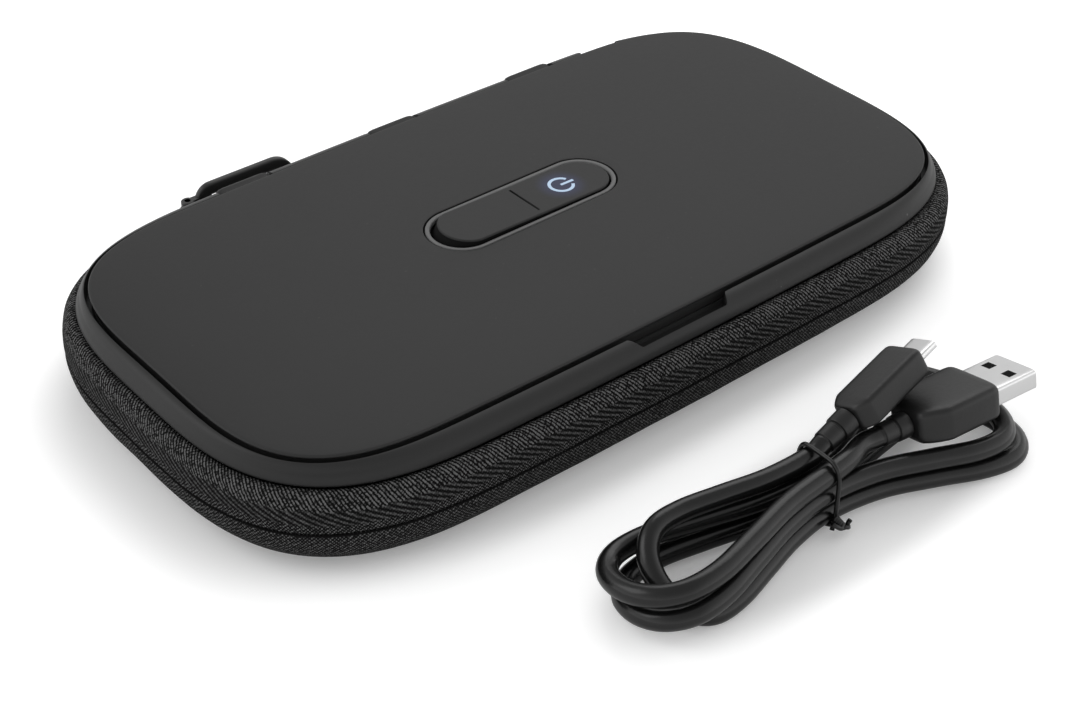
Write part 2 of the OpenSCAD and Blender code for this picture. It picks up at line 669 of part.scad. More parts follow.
module pull_tab() {
    x0 = lug_x + 2.2;
    x1 = x0 + pull_l;
    r = pull_w / 2;
    color([0.14, 0.14, 0.15])
    difference() {
        union() {
            translate([0, lug_y + pull_t / 2, 0]) rotate([90, 0, 0]) linear_extrude(pull_t) union() {
                translate([x0 + 4, pull_z - r]) square([x1 - x0 - 4 - r, 2 * r]);
                translate([x1 - r, pull_z]) circle(r = r, $fn = 48);
                translate([x0 + 4, pull_z - r + 4]) square([0.1, 2 * r - 8]);
                for (s = [-1, 1]) translate([x0 + 4, pull_z + s * (r - 4)]) circle(r = 4, $fn = 32);
                translate([x0, pull_z - r + 4]) square([4, 2 * r - 8]);
            }
            for (z = [pull_z + 2.4, pull_z - 4]) {
                translate([lug_x, lug_y, z]) cylinder(h = 1.6, r = 1.6, $fn = 32);
                bar(lug_x, x0 + 3, lug_y - pull_t / 2, lug_y + pull_t / 2, z, z + 1.6);
            }
        }
        translate([0, lug_y + 5, 0]) rotate([90, 0, 0]) linear_extrude(10) union() {
            translate([x0 + 4, pull_z - r + pull_frame]) square([x1 - x0 - 4 - r, 2 * r - 2 * pull_frame]);
            translate([x1 - r, pull_z]) circle(r = r - pull_frame, $fn = 48);
        }
        bar(lug_x - 3, lug_x + 2, lug_y - 3, lug_y + 3, pull_z - 2.3, pull_z + 2.3);
        translate([lug_x, lug_y, 0]) cylinder(h = long, r = pull_pin_r, $fn = 32);
    }
}

module pull_pin() {
    color([0.5, 0.5, 0.52])
    translate([lug_x, lug_y, pull_z - 4]) cylinder(h = 8, r = pull_pin_r, $fn = 32);
}

// Cord: a hank of two and a half loops, drawn in at the waist, in front of the case.
// Each half turn has its side, reach, far half width, near half width, far layer, near layer and sway.
hank_x = -3;
hank_y = -96.5;
waist = 2.75;
layer = cord_d + 0.5;
waist_lift = 1.4;
turn_step = 12;
climb_half = 35;
half_turns = [[-1, 44, 18, 20, 2, 0, 0], [1, 51, 19, 28, 0, 0, -4], [-1, 50.5, 23, 21, 0, 1, -1.5],
    [1, 48, 38, 29, 1, 1, -1], [-1, 52, 24, 22, 1, 2, 1.5]];
usb_at = [13, -97.4, 13.2];
usb_turn = [-14, -1, -6];
micro_at = [0.6, -93.2, 15.1];
micro_turn = [-26, -15, 5];
function ease(u) = let(v = min(max(u, 0), 1)) v * v * (3 - 2 * v);
function hank_point(h, t) = let(a = h[0] < 0 ? t : 180 - t, s = sin(a), c = cos(a),
    w = c >= 0 ? h[2] : h[3], u = ease((a - 90 + climb_half) / (2 * climb_half)))
    [hank_x + h[0] * h[1] * s, hank_y + c * (waist + w * s * s) + h[6] * s * s,
        0.4 * cord_d + layer * (h[4] + (h[5] - h[4]) * u) + waist_lift * c * c];
function aim(turn) = [cos(turn[2]) * cos(turn[1]), sin(turn[2]) * cos(turn[1]), -sin(turn[1])];
turns_end = len(half_turns) - 1;
hank_turns = [for (j = [0:turns_end]) for (i = [0:turn_step - 1])
    hank_point(half_turns[j], 180 * i / turn_step)];
straight = cord_d + 0.1;
hank_points = concat([micro_at, micro_at - straight * aim(micro_turn)],
    [for (i = [1:len(hank_turns) - 1]) hank_turns[i]],
    [hank_point(half_turns[turns_end], 180), [2.6, -98.5, 13.4], usb_at - straight * aim(usb_turn), usb_at]);

function unit(v) = v / norm(v);
// A round tube through points, seen from a direction it never runs along; a closed one joins its ends.
module tube(p, r, sides, from, closed) {
    n = len(p);
    rings = [for (i = [0:n - 1]) let(before = closed ? (i + n - 1) % n : max(i - 1, 0),
        after = closed ? (i + 1) % n : min(i + 1, n - 1),
        t = unit(p[after] - p[before]), side = unit(cross(from, t)), up = cross(t, side))
        for (k = [0:sides - 1]) let(a = 360 * (k + 0.5) / sides) p[i] + r * (cos(a) * side + sin(a) * up)];
    walls = [for (i = [0:closed ? n - 1 : n - 2]) for (k = [0:sides - 1])
        let(a = i * sides, b = (i + 1) % n * sides, u = (k + 1) % sides)
        each [[a + k, b + k, b + u], [a + k, b + u, a + u]]];
    ends = closed ? [] : [[for (k = [0:sides - 1]) k], [for (k = [sides - 1:-1:0]) (n - 1) * sides + k]];
    polyhedron(points = rings, faces = concat(walls, ends), convexity = 12);
}

module below_ground() {
    translate([-100, -150, -20]) cube([200, 100, 20]);
}

module cord_hank() {
    color([0.09, 0.09, 0.09])
    difference() {
        tube(hank_points, cord_d / 2, 6, [0, 0, 1], false);
        below_ground();
    }
}

tie_r = 0.45;
tie_at = [hank_x - 1, hank_y + 0.05, 8.65];
tie_half = [waist + cord_d / 2 + tie_r + 0.25, 8.2];
function rounded(v) = sign(v) * pow(abs(v), 0.4);
tie_points = [for (i = [0:27]) let(a = 360 * (i + 0.5) / 28)
    tie_at + [0, tie_half[0] * rounded(cos(a)), tie_half[1] * rounded(sin(a))]];
tie_knot = tie_at + [0, -tie_half[0], -5.2];
module tie_wire() {
    color([0.06, 0.06, 0.06])
    difference() {
        union() {
            tube(tie_points, tie_r, 6, [1, 0, 0], true);
            for (tail = [[[-1.2, -1, -1.2], [-4, -1.8, -2.2]], [[1, -1.2, -1.2], [2.6, -2.6, -2.2]]])
                tube([tie_knot, tie_knot + tail[0], tie_knot + tail[1]], 0.75, 6, [0, 0, 1], false);
        }
        below_ground();
    }
}

// Plugs: each is drawn along +X from its cord end and then set down where it lies.
module usb_pose() {
    translate(usb_at) rotate(usb_turn) children();
}
module micro_pose() {
    translate(micro_at) rotate(micro_turn) children();
}

module relief(l) {
    rotate([0, 90, 0]) cylinder(h = l / 2, r = cord_d / 2 + 0.2, $fn = 24);
    translate([l / 2 - 0.1, 0, 0]) rotate([0, 90, 0]) cylinder(h = l / 2 + 0.6, r = cord_d / 2 + 0.6, $fn = 24);
}

module body_block(x0, l, w, t, r) {
    hull() for (x = [x0 + 0.6, x0 + l - 0.6], j = [-1, 1], k = [-1, 1])
        translate([x, j * (w / 2 - r), k * (t / 2 - r)]) rotate([0, 90, 0])
            cylinder(h = 1.2, r = r, center = true, $fn = 32);
}

usb_l = 19.5;
usb_body_x = 7;
module usb_housing() {
    color([0.12, 0.12, 0.12]) usb_pose() {
        relief(usb_body_x);
        body_block(usb_body_x, usb_l, 15.6, 8.2, 3.4);
    }
}

module usb_shell() {
    x0 = usb_body_x + usb_l;
    color([0.8, 0.8, 0.81]) usb_pose() difference() {
        translate([x0, -usb_w / 2, -usb_t / 2]) cube([12, usb_w, usb_t]);
        translate([x0 - 1, -usb_w / 2 + 0.3, -usb_t / 2 + 0.3]) cube([20, usb_w - 0.6, usb_t - 0.6]);
        for (s = [-1, 1]) translate([x0 + 6, s * 2.9 - 1.25, -5]) cube([2.2, 2.5, 10]);
    }
}

module usb_tongue() {
    x0 = usb_body_x + usb_l;
    color([0.9, 0.9, 0.9]) usb_pose()
        translate([x0, -usb_w / 2 + 0.4, -usb_t / 2 + 0.35]) cube([11.4, usb_w - 0.8, 1.9]);
}

micro_l = 20;
micro_body_x = 8;
module micro_housing() {
    color([0.12, 0.12, 0.12]) micro_pose() {
        relief(micro_body_x);
        body_block(micro_body_x, micro_l, 10.2, 6.6, 2.8);
    }
}

module micro_shell() {
    x0 = micro_body_x + micro_l;
    color([0.8, 0.8, 0.81]) micro_pose() difference() {
        translate([x0, 0, 0]) rotate([90, 0, 90]) linear_extrude(5.4)
            polygon([[-micro_w / 2 + 0.8, -micro_t / 2], [micro_w / 2 - 0.8, -micro_t / 2],
                [micro_w / 2, 0], [micro_w / 2, micro_t / 2], [-micro_w / 2, micro_t / 2], [-micro_w / 2, 0]]);
        translate([x0 - 1, 0, 0]) rotate([90, 0, 90]) linear_extrude(9)
            polygon([[-micro_w / 2 + 1, -micro_t / 2 + 0.25], [micro_w / 2 - 1, -micro_t / 2 + 0.25],
                [micro_w / 2 - 0.25, 0.1], [micro_w / 2 - 0.25, micro_t / 2 - 0.25],
                [-micro_w / 2 + 0.25, micro_t / 2 - 0.25], [-micro_w / 2 + 0.25, 0.1]]);
    }
}

module micro_tongue() {
    x0 = micro_body_x + micro_l;
    color([0.15, 0.15, 0.15]) micro_pose()
        translate([x0, -micro_w / 2 + 1.2, -micro_t / 2 + 0.35]) cube([4.8, micro_w - 2.4, 0.7]);
}

// Least gap between turns of the hank, measured between points that are not neighbours, and the cord's length
gap_skip = 6;
last = len(hank_points) - 1;
gap_list = [for (i = [0:last - gap_skip]) for (j = [i + gap_skip:last]) norm(hank_points[i] - hank_points[j])];
pieces = [for (i = [1:last]) norm(hank_points[i] - hank_points[i - 1])];
echo(least_gap_of_the_hank = min(gap_list) - cord_d);
echo(cord_length = pieces * [for (i = [1:last]) 1]);

base_shell();
base_mirror();
zip_tape_lower();
zip_coil_lower();
expansion_gusset();
rim_frame();
rim_wall();
rim_gasket();
rim_magnets();
hinge_pin();
zip_tape_upper();
zip_coil_upper();
lid_cover();
lid_tray();
lid_mirror();
lamp_windows();
lamp_board();
uv_lamps();
control_board();
battery();
battery_pad();
key_switch();
sign_led();
charge_socket();
lid_magnets();
lid_sensor();
lid_screws();
button_bezel();
power_key();
power_sign();
switch_plunger();
zip_slider();
pull_tab();
pull_pin();
cord_hank();
tie_wire();
usb_housing();
usb_shell();
usb_tongue();
micro_housing();
micro_shell();
micro_tongue();
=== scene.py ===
import json
import math
import bpy
import numpy as np
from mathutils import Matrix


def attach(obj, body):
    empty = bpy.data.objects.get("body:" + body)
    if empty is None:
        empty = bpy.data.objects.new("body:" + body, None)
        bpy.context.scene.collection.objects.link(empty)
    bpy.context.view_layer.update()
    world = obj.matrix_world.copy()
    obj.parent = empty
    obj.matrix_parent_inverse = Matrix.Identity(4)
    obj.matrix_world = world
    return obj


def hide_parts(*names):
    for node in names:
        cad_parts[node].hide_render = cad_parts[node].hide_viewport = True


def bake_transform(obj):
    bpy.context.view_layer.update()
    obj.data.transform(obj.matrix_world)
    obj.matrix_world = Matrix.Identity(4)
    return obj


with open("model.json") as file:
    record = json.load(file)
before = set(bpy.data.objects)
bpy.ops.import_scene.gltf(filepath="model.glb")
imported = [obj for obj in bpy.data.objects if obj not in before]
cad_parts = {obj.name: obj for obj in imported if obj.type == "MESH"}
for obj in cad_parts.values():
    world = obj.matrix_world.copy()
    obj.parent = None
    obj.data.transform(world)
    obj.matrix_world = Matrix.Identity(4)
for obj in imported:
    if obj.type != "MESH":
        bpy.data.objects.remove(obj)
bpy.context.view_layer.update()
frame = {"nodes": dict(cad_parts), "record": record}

NODES = frame["nodes"]
MM = 0.001

# Camera: the lens and the place that the photograph's outline fits best

LENS_MM = 64.3
CAMERA_AT = (-0.2380, -0.2872, 0.2615)
CAMERA_TURN = (53.164, -0.442, -39.790)

camera_data = bpy.data.cameras.new("photo_camera")
camera_data.lens = LENS_MM
camera_data.sensor_fit = "HORIZONTAL"
camera_data.sensor_width = 36.0
camera_data.clip_start = 0.01
camera_data.clip_end = 20.0
camera = bpy.data.objects.new("photo_camera", camera_data)
camera.location = CAMERA_AT
camera.rotation_euler = [math.radians(v) for v in CAMERA_TURN]
bpy.context.scene.collection.objects.link(camera)
bpy.context.scene.camera = camera


# Shader arithmetic

class Value:
    """A number or colour inside a material. Arithmetic on it adds Math nodes."""

    def __init__(self, tree, socket):
        self.tree = tree
        self.socket = socket

    def math(self, operation, *others):
        n = self.tree.nodes.new("ShaderNodeMath")
        n.operation = operation
        for i, v in enumerate((self,) + others):
            connect(self.tree, n.inputs[i], v)
        return Value(self.tree, n.outputs[0])

    def __add__(self, o):
        return self.math("ADD", o)

    def __sub__(self, o):
        return self.math("SUBTRACT", o)

    def __mul__(self, o):
        return self.math("MULTIPLY", o)

    def power(self, o):
        return self.math("POWER", o)

    def sin(self):
        return self.math("SINE")

    def larger(self, o):
        return self.math("GREATER_THAN", o)

    def ramp(self, low, high, to_low=0.0, to_high=1.0):
        """Smooth step from to_low at low to to_high at high."""
        n = self.tree.nodes.new("ShaderNodeMapRange")
        n.interpolation_type = "SMOOTHSTEP"
        for i, v in enumerate((self, low, high, to_low, to_high)):
            connect(self.tree, n.inputs[i], v)
        return Value(self.tree, n.outputs[0])


def connect(tree, socket, value):
    """Links a Value to a socket, or sets the socket's own number."""
    if isinstance(value, Value):
        tree.links.new(value.socket, socket)
    else:
        socket.default_value = value


class Paint:
    """A material under construction."""

    def __init__(self, name):
        self.material = bpy.data.materials.new(name)
        self.material.use_nodes = True
        self.tree = self.material.node_tree
        self.tree.nodes.clear()
        self.shader = self.add("ShaderNodeBsdfPrincipled")
        out = self.add("ShaderNodeOutputMaterial")
        self.tree.links.new(self.shader.outputs[0], out.inputs["Surface"])

    def add(self, kind, inputs=(), **settings):
        """A node with its settings and inputs."""
        n = self.tree.nodes.new(kind)
        for key, value in settings.items():
            setattr(n, key, value)
        for key, value in dict(inputs).items():
            connect(self.tree, n.inputs[key], value)
        return n

    def place(self):
        """The point on the piece, in metres."""
        return Value(self.tree, self.add("ShaderNodeTexCoord").outputs["Object"])

    def split(self, vector):
        """The first two numbers of a vector."""
        s = self.add("ShaderNodeSeparateXYZ", {"Vector": vector})
        return Value(self.tree, s.outputs[0]), Value(self.tree, s.outputs[1])

    def uv(self):
        """Distance along and across the piece, in metres."""
        return self.split(Value(self.tree, self.add("ShaderNodeUVMap", uv_map="cloth").outputs[0]))

    def plan(self):
        """The point's x and y, in metres."""
        return self.split(self.place())

    def noise(self, scale, detail=2.0, rough=0.5):
        n = self.add("ShaderNodeTexNoise", {"Vector": self.place(), "Scale": scale, "Detail": detail,
                                            "Roughness": rough})
        return Value(self.tree, n.outputs[0])

    def specks(self, scale, size):
        """Small round specks: 1 inside one, 0 elsewhere."""
        n = self.add("ShaderNodeTexVoronoi", {"Vector": self.place(), "Scale": scale})
        return Value(self.tree, n.outputs["Distance"]).ramp(size, size * 0.5)

    def blend(self, factor, a, b):
        """Colour between a, at 0, and b, at 1."""
        n = self.add("ShaderNodeMix", data_type="RGBA")
        for socket, value in ((n.inputs[0], factor), (n.inputs[6], a), (n.inputs[7], b)):
            if not isinstance(value, Value) and socket.type == "RGBA":
                value = tuple(value) + (1.0,)
            connect(self.tree, socket, value)
        return Value(self.tree, n.outputs[2])

    def finish(self, color, rough, bump=None, height=0.0002, **fixed):
        """The material with its colour, roughness and bump, and other inputs of the shader fixed by name."""
        s = self.shader
        if not isinstance(color, Value):
            color = tuple(color) + (1.0,)
        connect(self.tree, s.inputs["Base Color"], color)
        connect(self.tree, s.inputs["Roughness"], rough)
        if bump is not None:
            b = self.add("ShaderNodeBump", {"Height": bump, "Strength": 1.0, "Distance": height})
            self.tree.links.new(b.outputs[0], s.inputs["Normal"])
        for key, value in fixed.items():
            s.inputs[key.replace("_", " ")].default_value = value
        return self.material


def grey(v):
    return (v, v, v)


def shades(color, spread):
    """A colour made a little darker, and a little lighter."""
    return [c * (1 - spread) for c in color], [min(1.0, c * (1 + spread)) for c in color]


def plain(name, color, rough, grain=400.0, spread=0.12, height=0.00004, **fixed):
    """Moulded or rolled material with a little unevenness in colour, gloss and surface."""
    p = Paint(name)
    fine = p.noise(grain, 3.0, 0.6)
    broad = p.noise(60.0, 2.0)
    base = p.blend(broad * 0.6 + fine * 0.4, *shades(color, spread))
    return p.finish(base, fine * 0.1 + (rough - 0.05), fine, height, **fixed)


def wale(s, v, lean, pitch):
    """Ribs of a twill: 0 in a furrow and 1 on a rib. lean is how far a rib runs along for each step up."""
    return ((s - v * lean) * (2 * math.pi / pitch)).sin() * 0.5 + 0.5


# The weave, in metres: pitches of threads and ribs, the heights over which one band gives way to the next, and
# the height over which the tape darkens next to the zip edge
THREAD, COUNTER_THREAD = 0.00074, 0.00078
STEEP_RIB, COUNTER_RIB, FLAT_RIB, LOW_RIB = 0.00088, 0.00085, 0.0024, 0.0019
LOW_ENDS, STEEP_STARTS, ZIP_EDGE_DARKENING = (0.0027, 0.0020), (0.0054, 0.0061), (0.0002, 0.0006)
THREAD_WANDER, BAND_WANDER = 0.0005, 0.0010


def twill(name, dark, light, upper):
    """Herringbone tape: bands of ribs that lean different ways, crossed by single threads."""
    p = Paint(name)
    s, v = p.uv()
    s = s + (p.noise(700.0, 2.0) - 0.5) * THREAD_WANDER
    threads = wale(s, v, -0.9, THREAD) * wale(s, v, 0.9, COUNTER_THREAD)
    speckle = p.noise(1900.0, 1.0)
    worn = speckle.ramp(0.35, 0.65, 0.5, 1.25)
    if upper:
        edge = v + (p.noise(260.0, 1.0) - 0.5) * BAND_WANDER
        steep = wale(s, v, -0.70, STEEP_RIB) * (wale(s, v, 1.1, COUNTER_RIB) * 0.6 + 0.6)
        flat = wale(s, v, -1.9, FLAT_RIB) * 0.42 + threads * 0.25 + 0.06
        low = wale(s, v, 1.9, LOW_RIB) * 0.3 + threads * 0.8
        is_steep = edge.ramp(*STEEP_STARTS)
        is_low = edge.ramp(*LOW_ENDS)
        is_flat = (is_steep * -1.0 + 1.0) * (is_low * -1.0 + 1.0)
        tone = (steep * speckle.ramp(0.35, 0.65, 0.35, 1.5) * is_steep
                + flat * speckle.ramp(0.3, 0.7, 0.65, 1.1) * is_flat + low * worn * is_low)
    else:
        tone = (wale(s, v, -1.6, LOW_RIB) * 0.3 + threads * 0.75) * worn
    # Darker next to the zip edge: the tone falls to the dark colour within the first fraction of a millimetre
    tone = tone * v.ramp(*ZIP_EDGE_DARKENING)
    color = p.blend(tone.ramp(0.12, 0.95), dark, light)
    return p.finish(color, 0.9, tone, 0.00014, Specular_IOR_Level=0.06)


def dusty(name, color, rough, dust=0.02, **fixed):
    """Moulded rubber with a few specks of lint."""
    p = Paint(name)
    fine = p.noise(700.0, 3.0, 0.6)
    broad = p.noise(45.0, 2.0)
    lint = p.specks(330.0, 0.11) * p.noise(140.0, 1.0).larger(0.6)
    base = p.blend(broad * 0.6 + fine * 0.4, *shades(color, 0.07))
    dusted = p.blend(lint, base, grey(color[0] + dust))
    return p.finish(dusted, fine * 0.08 + (rough - 0.04), fine, 0.00002, **fixed)


GLOW_REACH = (0.0068, 0.0022)
GLOW_BLUE = (0.014, 0.018, 0.055)


def key_cover(name, color, rough, centre, **fixed):
    """Soft-touch cover of the key, with the faint blue glow round its lit sign."""
    p = Paint(name)
    fine = p.noise(900.0, 3.0, 0.6)
    x, y = p.plan()
    dx, dy = x - centre[0], y - centre[1]
    away = (dx * dx + dy * dy).power(0.5)
    connect(p.tree, p.shader.inputs["Emission Color"], p.blend(away.ramp(*GLOW_REACH), grey(0.0), GLOW_BLUE))
    base = p.blend(fine, *shades(color, 0.05))
    return p.finish(base, fine * 0.08 + (rough - 0.04), fine, 0.00002, Emission_Strength=1.0, **fixed)


# Materials

SIGN_AT = (11.6 * MM, 2.0 * MM)
SOFT_TOUCH = dusty("soft_touch", grey(0.0255), 0.5, 0.012, Specular_IOR_Level=0.2)
KEY_TOUCH = key_cover("key_touch", grey(0.0255), 0.5, SIGN_AT, Specular_IOR_Level=0.2)
RIM_RUBBER = dusty("rim_rubber", grey(0.0195), 0.42, 0.06, Specular_IOR_Level=0.26)
TAPE_UPPER = twill("upper_twill", grey(0.0035), grey(0.15), True)
TAPE_LOWER = twill("lower_twill", grey(0.005), grey(0.15), False)
MATERIALS = {
    "soft_touch": SOFT_TOUCH,
    "rim_rubber": RIM_RUBBER,
    "shell_board": plain("shell_board", grey(0.03), 0.8),
    "zip_fabric": plain("zip_fabric", grey(0.03), 0.85, 1500.0, 0.4, 0.0001),
    "zip_black": plain("zip_black", grey(0.012), 0.45),
    "seal_rubber": plain("seal_rubber", grey(0.015), 0.7),
    "mirror_film": plain("mirror_film", grey(0.75), 0.12, 200.0, 0.03, 0.00001, Metallic=1.0),
    "steel": plain("steel", grey(0.55), 0.3, 500.0, 0.06, 0.00001, Metallic=1.0),
    "dark_plastic": plain("dark_plastic", grey(0.022), 0.5),
    "quartz": plain("quartz", (0.7, 0.8, 0.85), 0.1, 200.0, 0.03, 0.00001, Transmission_Weight=0.6),
    "circuit_board": plain("circuit_board", (0.01, 0.08, 0.035), 0.4),
    "lamp_ceramic": plain("lamp_ceramic", (0.8, 0.76, 0.5), 0.35),
    "cell_foil": plain("cell_foil", grey(0.5), 0.35, 300.0, 0.05, 0.00003, Metallic=0.8),
    "foam": plain("foam", grey(0.02), 0.9),
    "bezel_grey": plain("bezel_grey", grey(0.12), 0.4, 600.0, 0.05, 0.00001, Specular_IOR_Level=0.3),
    "lit_white": plain("lit_white", (0.25, 0.3, 0.36), 0.3, 400.0, 0.02, 0.00001,
                       Emission_Color=(0.5, 0.72, 1.0, 1.0), Emission_Strength=0.42),
    "slider_black": plain("slider_black", grey(0.014), 0.32, Specular_IOR_Level=0.4),
    "pull_black": plain("pull_black", grey(0.02), 0.38, Specular_IOR_Level=0.4),
    "cord_black": plain("cord_black", grey(0.005), 0.24, 700.0, 0.15, 0.00003, Specular_IOR_Level=0.42),
    "plug_black": plain("plug_black", grey(0.009), 0.38, 1100.0, 0.12, 0.00004, Specular_IOR_Level=0.42),
    "plug_metal": plain("plug_metal", grey(0.72), 0.3, 500.0, 0.03, 0.00001, Metallic=1.0),
    # Near-black painted shade: it fills the USB plug's holes and mouth, the key's side walls and the divider's
    # groove, and colours the micro plug's dark insert and the shade in its mouth
    "void_black": plain("void_black", grey(0.004), 0.8, Specular_IOR_Level=0.1),
    "contact_white": plain("contact_white", grey(0.7), 0.4),
}
for part in frame["record"]["subparts"]:
    mesh = NODES[part["node"]].data
    mesh.materials.clear()
    mesh.materials.append(MATERIALS[part["material_slot"]])


# Geometry helpers

def smooth_step(v, low, high):
    u = np.clip((v - low) / (high - low), 0, 1)
    return u * u * (3 - 2 * u)


def catmull(points, per):
    """Smooth curve through points: the Catmull-Rom cubic between each pair, in per steps."""
    p = np.asarray(points, float)
    q = np.vstack([2 * p[0] - p[1], p, 2 * p[-1] - p[-2]])
    t = np.linspace(0, 1, per, endpoint=False)[:, None]
    out = []
    for a, b, c, d in zip(q, q[1:], q[2:], q[3:]):
        out.append(0.5 * (2 * b + (c - a) * t + (2 * a - 5 * b + 4 * c - d) * t ** 2
                          + (3 * b - a - 3 * c + d) * t ** 3))
    return np.vstack(out + [q[-2][None]])


def new_mesh(name, points, faces, sharp):
    """Smooth-shaded mesh. Edges that turn by more than sharp degrees stay crisp."""
    mesh = bpy.data.meshes.new(name)
    mesh.from_pydata(points.tolist(), [], faces)
    mesh.polygons.foreach_set("use_smooth", [True] * len(faces))
    if sharp:
        mesh.set_sharp_from_angle(angle=math.radians(sharp))
    mesh.update()
    return mesh


def cells(rows, columns, loop_rows, loop_columns):
    """Corners of each cell of a grid, as rows and columns, and the cells as faces of its numbered points."""
    r = np.arange(rows if loop_rows else rows - 1)
    c = np.arange(columns if loop_columns else columns - 1)
    R, C = np.meshgrid(r, c, indexing="ij")
    corners = [(R, C), (R + 1, C), (R + 1, C + 1), (R, C + 1)]
    return corners, np.stack([(i % rows) * columns + j % columns for i, j in corners], -1).reshape(-1, 4)


def end_caps(rows, columns, start=0):
    """Faces over the first and the last row of a grid whose points are numbered from start."""
    last = start + (rows - 1) * columns
    return [list(range(start, start + columns))[::-1], list(range(last, last + columns))]


def grid_mesh(name, points, uv=None, loop_rows=False, loop_columns=False, caps=False, sharp=None):
    """Mesh from a grid of points P[row, column]; either direction may close on itself.

    uv has one more row or column than points in a direction that closes, so that a texture runs on over
    the join.
    """
    rows, columns = points.shape[:2]
    corners, quads = cells(rows, columns, loop_rows, loop_columns)
    faces = quads.tolist() + (end_caps(rows, columns) if caps else [])
    mesh = new_mesh(name, points.reshape(-1, 3), faces, sharp)
    if uv is not None:
        values = np.stack([uv[i, j] for i, j in corners], -2).astype(np.float32)
        mesh.uv_layers.new(name="cloth").data.foreach_set("uv", values.ravel())
    return mesh


def solids_mesh(name, grids, sharp=35):
    """One mesh from several tubes P[ring, point], each closed round its rings and capped at both ends."""
    points, faces, start = [], [], 0
    for g in grids:
        rows, columns = g.shape[:2]
        faces += (cells(rows, columns, False, True)[1] + start).tolist() + end_caps(rows, columns, start)
        points.append(g.reshape(-1, 3))
        start += rows * columns
    return new_mesh(name, np.vstack(points), faces, sharp)


def oval(half_w, half_t, power, count=40):
    """Cross-section |a / w|^n + |b / t|^n = 1, anticlockwise."""
    t = np.linspace(0, 2 * np.pi, count, endpoint=False) + np.pi / count
    a, b = [np.sign(v) * abs(v) ** (2 / power) for v in (np.cos(t), np.sin(t))]
    return np.stack([half_w * a, half_t * b], 1)


def loft(sections):
    """Body along x, in millimetres, from (x, half width, half thickness, power) sections."""
    rings = []
    for x, half_w, half_t, power in sections:
        yz = oval(half_w, half_t, power)
        rings.append(np.column_stack([np.full(len(yz), x), yz]))
    return np.array(rings)


def turned(points, turn):
    """Points turned about x, then y, then z, by angles in degrees."""
    a, b, c = np.radians(turn)
    x = np.array([[1, 0, 0], [0, math.cos(a), -math.sin(a)], [0, math.sin(a), math.cos(a)]])
    y = np.array([[math.cos(b), 0, math.sin(b)], [0, 1, 0], [-math.sin(b), 0, math.cos(b)]])
    z = np.array([[math.cos(c), -math.sin(c), 0], [math.sin(c), math.cos(c), 0], [0, 0, 1]])
    return points @ (z @ y @ x).T


def block(x, y, z):
    """Box from its low and high corners, as a tube along z, in millimetres."""
    ring = [(x[0], y[0]), (x[1], y[0]), (x[1], y[1]), (x[0], y[1])]
    return np.array([[(px, py, pz) for px, py in ring] for pz in z], float)


def piece(name, mesh, material, body, *nodes):
    """A finished piece in the row frame that rides on a body and stands for CAD nodes."""
    obj = bpy.data.objects.new(name, mesh)
    bpy.context.scene.collection.objects.link(obj)
    mesh.materials.clear()
    mesh.materials.append(material)
    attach(obj, body)
    if nodes:
        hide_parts(*nodes)
    return obj


# Cord: the same route as the CAD hank, in metres, made smooth

CORD_D = 4.6 * MM
HANK_AT = np.array([-3.0, -96.5]) * MM
WAIST = 2.75 * MM
LAYER = 5.1 * MM
LIFT = 1.4 * MM
REST_Z = 0.4 * CORD_D
CLIMB_ANGLES = (55, 125)
STEPS = 12
# Half turns: side, reach, width beyond and before the middle in y, layer there and there, and sway
HALF_TURNS = [(-1, 44, 18, 20, 2, 0, 0), (1, 51, 19, 28, 0, 0, -4), (-1, 50.5, 23, 21, 0, 1, -1.5),
              (1, 48, 38, 29, 1, 1, -1), (-1, 52, 24, 22, 1, 2, 1.5)]
USB_AT = np.array([13.0, -97.4, 13.2]) * MM
USB_TURN = (-14.0, -1.0, -6.0)
MICRO_AT = np.array([0.6, -93.2, 15.1]) * MM
MICRO_TURN = (-26.0, -15.0, 5.0)
STRAIGHT = CORD_D + 0.1 * MM
USB_VIA = (0.0026, -0.0985, 0.0134)  # where the last end of the cord crosses the tie


def hank_point(half_turn, t):
    """Point at t degrees of a half turn.

    x = x0 +- H sin a, y = y0 + cos a (waist + w sin^2 a) + sway sin^2 a, and z climbs a layer midway.
    """
    side, reach, far, near, layer_far, layer_near, sway = half_turn
    a = math.radians(t if side < 0 else 180 - t)
    s, c = math.sin(a), math.cos(a)
    w = far if c >= 0 else near
    climb = smooth_step(math.degrees(a), *CLIMB_ANGLES)
    return (HANK_AT[0] + side * reach * MM * s, HANK_AT[1] + c * (WAIST + w * MM * s * s) + sway * MM * s * s,
            REST_Z + LAYER * (layer_far + (layer_near - layer_far) * climb) + LIFT * c * c)


def aim(turn):
    """Direction of a plug's x axis after its turn."""
    ty, tz = math.radians(turn[1]), math.radians(turn[2])
    return np.array([math.cos(tz) * math.cos(ty), math.sin(tz) * math.cos(ty), -math.sin(ty)])


turns = [hank_point(h, 180 * i / STEPS) for h in HALF_TURNS for i in range(STEPS)]
route = np.array([MICRO_AT, MICRO_AT - STRAIGHT * aim(MICRO_TURN)] + turns[1:]
                 + [hank_point(HALF_TURNS[-1], 180), USB_VIA, USB_AT - STRAIGHT * aim(USB_TURN), USB_AT])


def tube(path, radius, sides, up):
    """Round tube: ring k of point i is P_i + r (cos a_k side_i + sin a_k up_i)."""
    t = np.gradient(path, axis=0)
    t /= np.linalg.norm(t, axis=1)[:, None]
    side = np.cross(up, t)
    side /= np.linalg.norm(side, axis=1)[:, None]
    over = np.cross(t, side)
    a = np.linspace(0, 2 * np.pi, sides, endpoint=False)
    ring = np.cos(a)[None, :, None] * side[:, None] + np.sin(a)[None, :, None] * over[:, None]
    return path[:, None] + radius * ring


